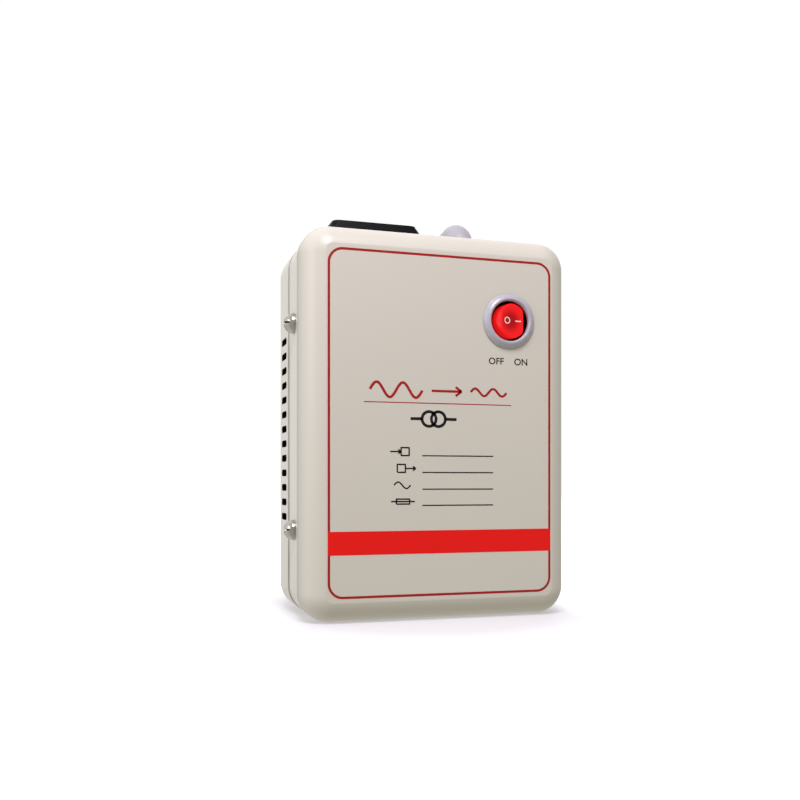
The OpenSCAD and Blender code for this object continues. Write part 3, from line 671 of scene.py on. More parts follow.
@dataclass(frozen=True)
class LitPlastic(Finish):
    """Frosted clear plastic that glows, less so at its core, and not at all deep in its housing.

    Glow places and distances are in metres.
    """

    wide: Mottle = Mottle(900.0, 2.0, 0.08)
    change: float = 0.06
    smooth: float = 0.26
    relief: Pair = (0.06, 2e-5)
    specular: float = 0.15
    coat: float = 0.05
    coat_rough: float = 0.08
    glow: Colour = (0.56, 0.008, 0.008)
    core: float = 0.04
    glow_centre: Triple = (0.029, -0.038, 0.124)
    glow_reach: Pair = (0.0015, 0.0062)
    glow_depth: Pair = (-0.0362, -0.0325)

    def extra(self, graph: Graph) -> dict[str, Any]:
        """Glow that grows with the distance from its centre.

        Args:
            graph: The material's graph.

        Returns:
            The glow's sockets.
        """
        spots = {0: graph.place(), 1: self.glow_centre}
        away = graph.node("ShaderNodeVectorMath", {"operation": "DISTANCE"}, spots, "Value")
        out = away.step(*self.glow_reach) * (1 - self.core) + self.core
        lit = out * (1 - graph.axis("Y").step(*self.glow_depth))
        return {"Emission Color": graph.mix(lit, (0.0, 0.0, 0.0), self.glow), "Emission Strength": 1.0}


@dataclass(frozen=True)
class Layered(Finish):
    """Material in thin layers, such as core sheets or turns of wire: stripes along one axis."""

    wide: Mottle = Mottle(300.0, 2.0, 0.2)
    change: float = 0.1
    metallic: float = 0.9
    axis: str = "Y"
    pitch: float = 0.0005
    seam: Colour = (0.05, 0.05, 0.05)
    seam_soft: float = 0.35

    def grain(self, graph: Graph) -> Value:
        """Ridges: |sine of the place along the axis|."""
        return abs((graph.axis(self.axis) * (np.pi / self.pitch)).sine())

    def tone(self, graph: Graph, wide: Value, fine: Value) -> Value:
        """Base colour, darker in the seams between the ridges."""
        return graph.mix(fine.step(0.0, self.seam_soft), self.seam, self.shades(graph, wide))


COVER_PAINT = Paint(
    "cover_paint",
    "cover_paint",
    linear(202, 196, 183),
    # Painted shade at the step behind the cap's rim and at the seam between the shells.
    painted_shade=((-0.0315, -0.0198, -0.0188, 0.62), (0.0040, 0.0048, 0.0056, 0.85)),
)
RING_SILVER = Paint(
    "bezel_silver",
    "bezel_silver",
    linear(172, 169, 178),
    wide=Mottle(60.0, 3.0, 0.06),
    fine=Mottle(900.0, 1.0),
    smooth=0.27,
    relief=(0.25, 2e-5),
    coat=0.5,
)
BLACK_PLASTIC = Plastic("black_plastic", "black_plastic", linear(12, 12, 12), specular=0.08)
BOBBIN_NYLON = Plastic("bobbin_nylon", "bobbin_nylon", linear(232, 226, 204))
COARSE = Mottle(1500.0, 2.0, 0.05)
# Painted shade: the walls of the vents and holes are coloured near black for the shade inside them, though
# the real walls are painted.
PAINTED_SHADE_CUT = Plastic("painted_shade_cut", "cover_paint", linear(20, 19, 18), fine=COARSE, smooth=0.62, specular=0.1)
# Painted shade: the screws' crossed recesses are coloured dark for the shade that falls in them.
PAINTED_SHADE_RECESS = Plastic(
    "painted_shade_recess", "screw_nickel", linear(44, 41, 34), fine=COARSE, smooth=0.52, specular=0.2
)
NICKEL = Metal("screw_nickel", "screw_nickel", linear(184, 179, 172))
BRASS = Metal("contact_brass", "contact_brass", linear(206, 172, 92), smooth=0.22)
ROCKER_RED = LitPlastic("rocker_red", "rocker_red", linear(170, 5, 13))
LAMP_GLASS = LitPlastic("lamp_glass", "lamp_glass", linear(250, 150, 60), glow=(0.5, 0.2, 0.05), core=1.0)
CORD_VINYL = Vinyl("cord_grey", "cord_grey", linear(164, 161, 166))
LEAD_BROWN = Vinyl("lead_brown", "lead_brown", linear(112, 66, 38))
LEAD_BLUE = Vinyl("lead_blue", "lead_blue", linear(46, 74, 150))
MARK_WHITE = Ink("mark_white", "rocker_red", linear(240, 226, 222))
BAND_RED = Ink("band_red", "cover_paint", linear(230, 14, 8))
LINE_RED = Ink("line_red", "cover_paint", linear(158, 24, 25))
DARK_INK = Ink("dark_ink", "cover_paint", linear(18, 17, 20))
CORE_STEEL = Layered("core_steel", "core_steel", linear(128, 128, 134), smooth=0.4, relief=(0.6, 1e-4))
WINDING_COPPER = Layered(
    "winding_copper",
    "winding_copper",
    linear(196, 112, 58),
    smooth=0.2,
    relief=(0.6, 1.8e-4),
    axis="Z",
    pitch=0.0009,
)
WRAP_TAPE = Layered(
    "wrap_tape",
    "wrap_tape",
    linear(226, 190, 70),
    relief=(0.6, 2.4e-3),
    metallic=0.0,
    axis="Z",
    pitch=0.012,
    seam=linear(190, 150, 44),
)
BOARD_FIBRE = Layered(
    "board_fibre",
    "board_fibre",
    linear(176, 138, 84),
    smooth=0.5,
    relief=(0.6, 2.4e-4),
    metallic=0.0,
    axis="X",
    pitch=0.0012,
    seam=linear(150, 112, 64),
)


# Making a piece


def link(made: bpy.types.Object) -> bpy.types.Object:
    """Puts an object into the scene and gives it back."""
    bpy.context.scene.collection.objects.link(made)
    return made


def solid_mesh(name: str, surface: Surface) -> bpy.types.Mesh:
    """Writes a closed surface into a mesh, with poles merged and faces pointing outwards.

    Args:
        name: Name of the mesh.
        surface: Points in millimetres and faces.

    Returns:
        The mesh in metres.
    """
    mesh = bpy.data.meshes.new(name)
    mesh.from_pydata((surface.points * MM).tolist(), [], surface.faces)
    work = bmesh.new()
    work.from_mesh(mesh)
    bmesh.ops.remove_doubles(work, verts=work.verts, dist=MERGE_DISTANCE)
    bmesh.ops.recalc_face_normals(work, faces=work.faces)
    work.to_mesh(mesh)
    work.free()
    return mesh


def evaluated_mesh(made: bpy.types.Object) -> bpy.types.Mesh:
    """Gives the mesh that an object shows, as a new mesh."""
    return bpy.data.meshes.new_from_object(made.evaluated_get(bpy.context.evaluated_depsgraph_get()))


def cut_mesh(mesh: bpy.types.Mesh, cutter: Surface) -> bpy.types.Mesh:
    """Takes a surface's inside away from a mesh with an exact boolean.

    Args:
        mesh: The mesh to cut, with a second material for the walls of the cuts.
        cutter: Closed surface of the cuts, whose parts don't meet.

    Returns:
        A new mesh with the cuts in it.
    """
    blade = solid_mesh("cut_tool", cutter)
    for material in mesh.materials:
        blade.materials.append(material)
    blade.polygons.foreach_set("material_index", np.ones(len(blade.polygons), np.int32))
    target = link(bpy.data.objects.new("cut_target", mesh))
    tool = link(bpy.data.objects.new("cut_tool", blade))
    step = target.modifiers.new("cut", "BOOLEAN")
    step.operation = "DIFFERENCE"
    step.solver = "EXACT"
    step.object = tool
    cut = evaluated_mesh(target)
    for made in (target, tool):
        bpy.data.objects.remove(made)
    return cut


def make_piece(
    name: str,
    surface: Surface,
    finish: Finish,
    replaces: Sequence[str] = (),
    body: Body = Body.CASE,
    cutter: Optional[Surface] = None,
    cut_finish: Optional[Finish] = None,
    sharp: float = 32.0,
) -> bpy.types.Object:
    """Makes a finished piece that rides on a body.

    Args:
        name: Name of the piece.
        surface: Closed surface in millimetres.
        finish: Its finish.
        replaces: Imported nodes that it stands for.
        body: The body that it moves with.
        cutter: Closed surface of the cuts in it, if it has any.
        cut_finish: Finish of the cuts' walls.
        sharp: Edges that turn by more degrees than this stay sharp.

    Returns:
        The object.
    """
    mesh = solid_mesh(name, surface)
    mesh.materials.append(finish.material())
    if cutter is not None:
        mesh.materials.append(cut_finish.material())
        mesh = cut_mesh(mesh, cutter)
        mesh.name = name
    mesh.polygons.foreach_set("use_smooth", np.ones(len(mesh.polygons), bool))
    mesh.set_sharp_from_angle(angle=np.radians(sharp))
    piece = link(bpy.data.objects.new(name, mesh))
    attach(piece, body.value)
    if replaces:
        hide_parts(*replaces)
    LOG.info("%s: %d faces, rides on %s", name, len(mesh.polygons), body.value)
    return piece


def dress_node(node: bpy.types.Object, finish: Finish) -> None:
    """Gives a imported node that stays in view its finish.

    Args:
        node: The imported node.
        finish: Its finish.
    """
    node.data.materials.clear()
    node.data.materials.append(finish.material())
    LOG.info("%s: packed solid, finished in %s", node.name, finish.name)


# Sub-assemblies


def rod(radius: float, start: Triple, end: Triple) -> Surface:
    """Round bar between two points."""
    return sweep(np.array([start, end], float), radius, 48)


@dataclass
class CaseShells:
    """The two cover shells: rounded rectangles whose inset and depth follow a profile.

    The front cover is a rounded cap with a narrower strip behind its rim, and the rear cover stands
    out from the strip a little. An edge has a width on the face, a nose radius and a depth, and a
    post has a radius and the depth where it ends.
    """

    corner_r: float = 12.0
    corner_steps: int = 22
    cap_edge: Triple = (9.0, 2.5, 11.0)
    rear_edge: Triple = (7.5, 5.0, 14.0)
    nose_steps: int = 12
    flank_steps: int = 15
    strip_in: float = 1.2
    rear_in: float = 0.7
    wall: float = 2.0
    front_depth: float = 40.5
    seam_gap: float = 0.6
    seam_r: float = 0.5
    groove_at: float = 16.6
    groove_half: float = 0.55
    groove_deep: float = 0.6
    lip_at: float = 20.0
    lip_in: float = 2.2
    lip_end: float = 3.8
    lip_root: float = 2.4
    vent_count: int = 13
    vent_pitch: float = 6.4
    vent_size: Pair = (12.0, 3.0)
    vent_gap: float = 3.2
    vent_flat: float = 1e-3
    screw_hole_r: float = 1.9
    switch_hole_r: float = 9.95
    socket_hole: float = 33.6
    boot_hole_r: float = 5.3
    bolt_spots: tuple[Pair, ...] = ((-35, 17), (35, 17), (-35, 73), (35, 73))
    bolt_post: Pair = (4.5, 55.0)
    board_posts: tuple[Pair, ...] = ((6, 108), (42, 108))
    board_post: Pair = (3.5, 62.0)
    support: float = 0.35

    def edge(self, inset: float, form: Triple) -> np.ndarray:
        """Rounded edge from the flat face to the side: a nose arc that runs on into a flank arc.

        With the edge's width e, the nose's radius r and k = depth - r, the flank's radius is
        (e^2 + k^2 - r^2) / 2 (e - r).

        Args:
            inset: Distance inside the outer skin, less than the nose's radius.
            form: The edge's width on the face, the nose's radius and the depth where the flank ends.

        Returns:
            Rows of (inset, depth).
        """
        width, nose_r, back = form
        reach = back - nose_r
        flank_r = (width**2 + reach**2 - nose_r**2) / (2 * (width - nose_r))
        meet = np.degrees(np.arcsin(reach / (flank_r - nose_r)))
        nose = np.array([width, nose_r]) - arc((0, 0), nose_r - inset, 90, meet, self.nose_steps)
        flank = np.array([flank_r, back]) - arc((0, 0), flank_r - inset, meet, 0, self.flank_steps)
        return np.concatenate([nose, flank[1:]])

    def skin(self, inset: float, form: Triple) -> np.ndarray:
        """Edge profile with a flat strip on the face before it."""
        face = np.array([[form[0] + 2 * self.support, inset], [form[0] + self.support, inset]])
        return np.concatenate([face, self.edge(inset, form)])

    def rolled(self, end: float) -> np.ndarray:
        """Rolled edge at the seam: a quarter arc from the side in to the edge's end.

        Args:
            end: Depth of the edge's end.

        Returns:
            Rows of (inset, depth).
        """
        turn = arc((0, 0), self.seam_r, 0, 90, 9)
        centre = np.array([self.seam_r, end - self.seam_r])
        lead_in = np.array([[0.0, end - self.seam_r - self.support]])
        return np.concatenate([lead_in, centre + turn * np.array([-1, 1])])

    def groove(self) -> np.ndarray:
        """Groove behind the cap's rim: inset = depth (1 - u^4) across its width.

        Returns:
            Rows of (inset, depth).
        """
        u = np.linspace(-1, 1, 15)
        dip = np.stack([self.groove_deep * (1 - u**4), self.groove_at + self.groove_half * u], axis=-1)
        return np.concatenate([dip, [[0.0, self.groove_at + self.groove_half + self.support]]])

    def rings(self, profile: np.ndarray, narrow: np.ndarray, from_back: bool) -> np.ndarray:
        """Outline at each row of a profile, narrowed towards the middle.

        Args:
            profile: Rows of (inset, depth).
            narrow: What each row loses on the left and on the right.
            from_back: Whether depth counts from the back.

        Returns:
            Array of shape (rows, points, 3).
        """
        flat = rounded_outlines((CASE_W / 2, CASE_H / 2), self.corner_r, profile[:, 0], self.corner_steps)
        depth = CASE_D - profile[:, 1] if from_back else profile[:, 1]
        back = np.broadcast_to((depth + FACE_Y)[:, None], flat.shape[:2])
        across = flat[..., 0] * (1 - 2 * narrow / CASE_W)[:, None]
        return np.stack([across, back, flat[..., 1] + CASE_H / 2], axis=-1)

    def front_rings(self) -> np.ndarray:
        """Front cover: cap, groove, strip, rolled seam edge, and the inner skin back to the face.

        Returns:
            Array of shape (rows, points, 3).
        """
        outer = np.concatenate([self.skin(0.0, self.cap_edge), self.groove(), self.rolled(self.front_depth)])
        inner = np.concatenate([[[self.wall, self.front_depth]], self.skin(self.wall, self.cap_edge)[::-1]])
        begin = self.groove_at - self.groove_half
        share = np.clip((outer[:, 1] - begin) / self.groove_half, 0, 1)
        narrow = np.concatenate([self.strip_in * share, np.zeros(len(inner))])
        return self.rings(np.concatenate([outer, inner]), narrow, False)

    def rear_rings(self) -> np.ndarray:
        """Rear cover, counted from the back: outer skin, rolled edge, inner lip and inner skin.

        Returns:
            Array of shape (rows, points, 3).
        """
        end = CASE_D - self.front_depth - self.seam_gap
        root = end - self.lip_root
        tip = CASE_D - self.lip_at
        lip = [
            [self.lip_in, end],
            [self.lip_in, tip],
            [self.lip_end, tip],
            [self.lip_end, root],
            [self.wall, root],
        ]
        inner = self.skin(self.wall, self.rear_edge)[::-1]
        profile = np.concatenate([self.skin(0.0, self.rear_edge), self.rolled(end), lip, inner])
        return self.rings(profile, np.full(len(profile), self.rear_in), True)

    def shared_cuts(self) -> list[Surface]:
        """Cuts through both shells: side screws, socket and strain relief.

        Returns:
            Closed surfaces that don't meet.
        """
        ends = [[(x, SCREW_Y, z) for x in (-CASE_W, CASE_W)] for z in SCREW_HEIGHTS]
        screws = [rod(self.screw_hole_r, start, end) for start, end in ends]
        low, high = CASE_H - 3 * self.lip_end, CASE_H + self.lip_end
        x, y = SOCKET_AT
        half = self.socket_hole / 2
        socket = box_surface((x - half, y - half, low), (x + half, y + half, high))
        return [*screws, socket, rod(self.boot_hole_r, (*BOOT_AT, low), (*BOOT_AT, high))]

    def vent_cuts(self) -> list[Surface]:
        """One slot-shaped bar through both sides for each pair of vents.

        Returns:
            Closed surfaces that don't meet.
        """
        length, height = self.vent_size
        outline = rounded_outline((length / 2, height / 2), height / 2 - self.vent_flat, 8)
        bar = prism(outline, -CASE_W, CASE_W, 0)
        y = self.front_depth + self.seam_gap + self.vent_gap + length / 2 + FACE_Y
        rows = CASE_H / 2 + (np.arange(self.vent_count) - (self.vent_count - 1) / 2) * self.vent_pitch
        return [bar.moved((0, y, z)) for z in rows]

    def posts(self) -> Surface:
        """Posts on the inside of the back wall for the core and the terminal board.

        Returns:
            All posts as one surface.
        """
        wall = CASE_D - self.wall + FACE_Y
        groups = ((self.bolt_spots, self.bolt_post), (self.board_posts, self.board_post))
        rods = [
            rod(radius, (x, wall, z), (x, end + FACE_Y, z))
            for spots, (radius, end) in groups
            for x, z in spots
        ]
        return Surface.joined(rods)

    def build(self) -> None:
        """Makes both shells and the rear posts."""
        inside = FACE_Y + 3 * self.wall
        switch = rod(self.switch_hole_r, (SWITCH_X, -CASE_D, SWITCH_Z), (SWITCH_X, inside, SWITCH_Z))
        make_piece(
            "front_shell",
            loft(self.front_rings()),
            COVER_PAINT,
            replaces=["front_cover"],
            cutter=Surface.joined(self.shared_cuts() + [switch]),
            # Cut walls coloured near black as painted shade.
            cut_finish=PAINTED_SHADE_CUT,
        )
        make_piece(
            "rear_shell",
            loft(self.rear_rings()),
            COVER_PAINT,
            replaces=["rear_cover"],
            cutter=Surface.joined(self.shared_cuts() + self.vent_cuts()),
            # Cut walls coloured near black as painted shade.
            cut_finish=PAINTED_SHADE_CUT,
        )
        make_piece("rear_posts", self.posts(), COVER_PAINT, replaces=["rear_cover"])


@dataclass
class SideScrews:
    """Four domed screws that hold the shells together, two on each side, drawn along +Z.

    The crossed recess has a length, a width and a depth, and is narrower at its foot.
    """

    head_r: float = 4.25
    head_h: float = 4.35
    rim_h: float = 0.9
    rim_in: float = 0.105
    rim_drop: float = 0.15
    bevel: float = 0.12
    shank_r: float = 1.75
    shank_len: float = 7.8
    cross: Triple = (9.4, 1.0, 2.4)
    cross_foot: float = 0.7
    cross_over: float = 1.0
    wall_x: float = 56.3
    turns: tuple[float, ...] = (4.0, 0.0, 35.0, 62.0)

    def screw(self) -> Surface:
        """Turned profile: dome of one radius, bevelled rim, flat underside and shank.

        Returns:
            One screw.
        """
        rise = self.head_h - self.rim_h
        dome_r = (self.head_r**2 + rise**2) / (2 * rise)
        end = np.degrees(np.arcsin((self.head_r - self.rim_in) / dome_r))
        dome = arc((0, self.head_h - dome_r), dome_r, 90, 90 - end, 18)
        below = [
            [self.head_r, self.rim_h - self.rim_drop],
            [self.head_r, self.bevel],
            [self.head_r - self.bevel, 0.0],
            [self.shank_r, 0.0],
            [self.shank_r, -self.shank_len],
            [0.0, -self.shank_len],
        ]
        return revolve(np.concatenate([dome, below]), 48)

    def recess(self) -> Surface:
        """Crossed recess: one plus-shaped outline at its foot and over the head.

        Returns:
            The cut for one screw.
        """
        length, width = self.cross[0] / 2, self.cross[1] / 2
        plus = np.array(
            [
                [length, -width], [length, width], [width, width], [width, length],
                [-width, length], [-width, width], [-length, width], [-length, -width],
                [-width, -width], [-width, -length], [width, -length], [width, -width],
            ]
        )
        foot = level(plus * self.cross_foot, self.head_h - self.cross[2])
        return loft(np.stack([foot, level(plus, self.head_h + self.cross_over)]))

    def placed(self, part: Surface) -> Surface:
        """Copies of a part at the four screws, each turned in its own way.

        Args:
            part: A part of one screw.

        Returns:
            The copies as one surface.
        """
        places = [(side, z) for side in (-1, 1) for z in SCREW_HEIGHTS]
        return Surface.joined(
            [
                part.turned(spin(1, 90 * side) @ spin(2, turn)).moved((side * self.wall_x, SCREW_Y, z))
                for (side, z), turn in zip(places, self.turns)
            ]
        )

    def build(self) -> None:
        """Makes the four screws as one piece."""
        make_piece(
            "side_screw_heads",
            self.placed(self.screw()),
            NICKEL,
            replaces=["side_screws"],
            cutter=self.placed(self.recess()),
            # Recesses coloured dark as painted shade.
            cut_finish=PAINTED_SHADE_RECESS,
        )


@dataclass
class RockerSwitch:
    """Round lit rocker switch: its ring, its rocker and the two marks on the rocker."""

    ring_r: float = 11.5
    ring_h: float = 2.2
    open_r: float = 8.4
    chamfer: float = 0.7
    crest_edge: Pair = (0.15, 0.04)
    ring_fall: float = 1.4
    foot: Pair = (0.6, 0.4)
    rim_r: float = 0.4
    tilt: float = 12.0
    pivot: float = 3.0
    lens_r: float = 7.3
    half: float = 6.9
    top: float = 5.0
    up: float = 2.2
    end: float = 0.5
    dip: float = 0.3
    low: float = 5.4
    round_r: float = 0.55
    ridge_soft: float = 0.28
    bow: float = 0.35
    least_wide: float = 1e-4
    axle: Pair = (1.2, 6.6)
    mark_at: float = 2.75
    mark_r: Pair = (1.05, 1.45)
    bar: Pair = (2.8, 0.42)
    mark_sunk: float = 0.3
    mark_rise: float = 0.04

    def at_switch(self, part: Surface) -> Surface:
        """Moves a part drawn in the switch's own frame to the front face."""
        return part.turned(UPRIGHT).moved((SWITCH_X, FACE_Y, SWITCH_Z))

    def tilted(self, part: Surface) -> Surface:
        """Turns a part about the hinge line, with the right side pressed in."""
        return part.moved((0, 0, self.pivot)).turned(spin(1, self.tilt)).moved((0, 0, -self.pivot))

    def ring(self) -> Surface:
        """Turned ring on a narrower foot, chamfered inside: its face falls by
        fall (0.25 u + 0.75 u^2) to a round rim.

        Returns:
            The ring in the switch's own frame.
        """
        crest = self.open_r + self.chamfer
        rim = self.ring_r - self.rim_r
        foot = self.ring_r - self.foot[0]
        u = np.linspace(1, 0, 14)
        brow = crest + (rim - crest) * u
        fall = self.ring_h - self.ring_fall * (0.25 * u + 0.75 * u**2)
        profile = np.concatenate(
            [
                [[self.open_r, 0.0], [foot, 0.0], [foot, self.foot[1]], [self.ring_r, self.foot[1]]],
                arc((rim, fall[0] - self.rim_r), self.rim_r, 0, 50, 7),
                np.column_stack([brow, fall])[1:],
                [[crest - self.crest_edge[0], self.ring_h - self.crest_edge[1]]],
                [[self.open_r, self.ring_h - self.chamfer]],
            ]
        )
        return revolve(profile, 96, closed=True)

    def face_height(self, x: np.ndarray, y: np.ndarray) -> np.ndarray:
        """Height of the rocker's face: a shallow dish between two bowed ridges, with sloped ends,
        averaged over a short window so that the ridges are rounded.

        Args:
            x: Places across the hinge line.
            y: Places along it, in an array of the same shape.

        Returns:
            The heights.
        """
        crest = (self.top + self.bow * (1 - 2 * (y / self.lens_r) ** 2))[..., None]
        place = np.abs(x[..., None] + np.linspace(-self.ridge_soft, self.ridge_soft, 9))
        dish = self.up - self.dip * (1 - (place / crest) ** 2)
        slope = (self.up + self.end) / (self.half - crest)
        return np.minimum(dish, self.up - slope * (place - crest)).mean(axis=-1)

    def rocker(self) -> Surface:
        """Loft across the hinge line: each section has a flat foot, upright sides and a face whose
        edges fall away on a quarter arc.

        Returns:
            The rocker and its axle in the switch's own frame.
        """
        x = self.half * np.sin(np.linspace(-np.pi / 2, np.pi / 2, 81))
        reach = np.abs(x) + self.lens_r - self.half
        wide = np.sqrt(np.maximum(self.lens_r**2 - reach**2, self.least_wide))
        y = wide[:, None] * np.sin(np.linspace(-np.pi / 2, np.pi / 2, 41))
        short = np.maximum(self.round_r - (wide[:, None] - np.abs(y)), 0)
        drop = self.round_r - np.sqrt(self.round_r**2 - short**2)
        across = np.broadcast_to(x[:, None], y.shape)
        face = np.stack([across, y, self.face_height(across, y) - drop], axis=-1)
        foot = np.stack([level(np.column_stack([x, way]), -self.low) for way in (wide, -wide)], axis=1)
        radius, end = self.axle
        axle = revolve(np.array([[0.0, -end], [radius, -end], [radius, end], [0.0, end]]), 24)
        along = axle.turned(spin(0, 90)).moved((0, 0, -self.pivot))
        return Surface.joined([loft(np.concatenate([face, foot], axis=1)), along])

    def marks(self) -> Surface:
        """A ring on the left and a bar on the right, drawn flat and then laid on the curved face.

        Returns:
            Both marks in the switch's own frame.
        """
        low, high = -self.mark_sunk, self.mark_rise
        inner, outer = self.mark_r
        loop = np.array([[inner, low], [outer, low], [outer, high], [inner, high]])
        length, thick = self.bar[0] / 2, self.bar[1] / 2
        bar = box_surface((self.mark_at - length, -thick, low), (self.mark_at + length, thick, high))
        flat = Surface.joined([revolve(loop, 40, closed=True).moved((-self.mark_at, 0, 0)), bar])
        lift = self.face_height(flat.points[:, 0], flat.points[:, 1])
        return flat.moved(np.column_stack([np.zeros((len(lift), 2)), lift]))

    def build(self) -> None:
        """Makes the ring, the rocker and its marks."""
        rocker, marks = (self.at_switch(self.tilted(part)) for part in (self.rocker(), self.marks()))
        make_piece("switch_ring", self.at_switch(self.ring()), RING_SILVER, replaces=["switch_bezel"])
        make_piece("rocker", rocker, ROCKER_RED, replaces=["switch_rocker"], body=Body.ROCKER)
        make_piece("rocker_marks", marks, MARK_WHITE, body=Body.ROCKER)


@dataclass
class OutputSocket:
    """Square output socket on the case top: a bevelled frame round a recessed insert."""

    plate_half: float = 19.5
    plate_h: float = 5.3
    bevel: float = 3.0
    bevel_in: float = 1.6
    body_half: float = 16.5
    body_deep: float = 20.0
    open_half: float = 13.55
    insert_half: float = 14.9
    recess: float = 2.4
    corner_r: float = 1.6
    plate_corner: float = 3.0
    edge_r: float = 0.4
    sharp: float = 40.0

    def profile(self) -> np.ndarray:
        """Loop of (half width, height): body, plate, bevel, recess and the bore for the insert, with
        edges rounded through shares of their radius.

        Returns:
            Array of shape (points, 2).
        """
        top, edge = self.plate_h, self.edge_r
        fold = top - self.bevel
        crest = self.plate_half - self.bevel_in
        return np.array(
            [
                [self.insert_half, -self.body_deep],
                [self.body_half, -self.body_deep],
                [self.body_half, 0.0],
                [self.plate_half, 0.0],
                [self.plate_half, fold - edge],
                [self.plate_half - 0.12 * edge, fold - 0.3 * edge],
                [self.plate_half - 0.4 * edge, fold + 0.7 * edge],
                [crest + 0.4 * edge, top - 0.7 * edge],
                [crest + 0.3 * edge, top - 0.12 * edge],
                [crest - edge, top],
                [self.open_half + edge, top],
                [self.open_half + 0.12 * edge, top - 0.12 * edge],
                [self.open_half, top - edge],
                [self.open_half, top - self.recess],
                [self.insert_half, top - self.recess],
            ]
        )

    def corner(self, half: float) -> float:
        """Corner radius of a rounded square: larger on the plate than on the body and inside."""
        return self.plate_corner if half > self.body_half else self.corner_r

    def build(self) -> None:
        """Makes the frame: rounded squares stacked along the profile, closed on themselves."""
        rings = [level(rounded_outline((half, half), self.corner(half), 8), z) for half, z in self.profile()]
        frame = loft(np.stack(rings), closed=True).moved((*SOCKET_AT, CASE_H))
        make_piece("socket_rim", frame, BLACK_PLASTIC, replaces=["socket_frame"], sharp=self.sharp)


@dataclass
class StrainRelief:
    """Bent boot that leads the cord out of the case top: collar, elbow and a ribbed, tapered tail.

    Collar and neck have a radius and a length, and the clamp a radius and two heights.
    """

    bend_r: float = 8.0
    elbow_r: float = 6.0
    tip_r: float = 4.3
    tip_round: float = 0.6
    tip_step: float = 1e-3
    tail_len: float = 24.0
    ribs: int = 5
    rib_pitch: float = 4.0
    groove_deep: float = 0.8
    groove_half: float = 0.8
    collar: Pair = (8.0, 2.0)
    collar_round: float = 0.8
    neck: Pair = (5.0, 12.0)
    clamp: Triple = (7.0, -5.95, -3.95)

    def tail_radius(self, along: np.ndarray) -> np.ndarray:
        """Taper less a rounded dip at each groove: depth (1 - u^4) where u is within the groove.

        Args:
            along: Distances from the tail's start.

        Returns:
            The radius at each distance.
        """
        taper = self.elbow_r + (self.tip_r - self.elbow_r) * along / self.tail_len
        centres = (np.arange(self.ribs) + 1) * self.rib_pitch + self.groove_half
        u = np.clip(np.abs(along[:, None] - centres) / self.groove_half, 0, 1)
        return taper - (self.groove_deep * (1 - u**4)).sum(axis=1)

    def boot(self) -> Surface:
        """Tube up out of the collar, round a quarter bend and back along the tail to a closed tip.

        Returns:
            The tube.
        """
        x, y = BOOT_AT
        turn = arc((y + self.bend_r, CASE_H), self.bend_r, 180, 90, 24)
        along = np.linspace(0, self.tail_len, 181)[1:]
        tail = np.column_stack([y + self.bend_r + along, np.full(len(along), turn[-1, 1])])
        path = level(np.concatenate([turn, tail]), x, 0)
        radius = np.concatenate([np.full(len(turn), self.elbow_r), self.tail_radius(along)])
        tip = np.linspace(0, 1, 5)[1:]
        path = np.concatenate([path, path[-1] + np.outer(tip * self.tip_step, (0, 1, 0))])
        return sweep(path, np.concatenate([radius, self.tip_r - self.tip_round * tip]), 40)

    def collar_and_neck(self) -> Surface:
        """Turned collar with a rounded top edge, the neck through the case and its clamp ring.

        Returns:
            The turned surface.
        """
        r, h = self.collar
        soft = self.collar_round
        neck_r, neck_len = self.neck
        clamp_r, low, high = self.clamp
        profile = np.concatenate(
            [
                [[0.0, -neck_len], [neck_r, -neck_len], [neck_r, low], [clamp_r, low], [clamp_r, high]],
                [[neck_r, high], [neck_r, 0.0], [r, 0.0], [r, h - soft]],
                arc((r - soft, h - soft), soft, 0, 90, 8),
                [[0.0, h]],
            ]
        )
        return revolve(profile, 64).moved((*BOOT_AT, CASE_H))

    def build(self) -> None:
        """Makes the boot as one piece."""
        whole = Surface.joined([self.boot(), self.collar_and_neck()])
        make_piece("cord_boot", whole, CORD_VINYL, replaces=["strain_relief"])


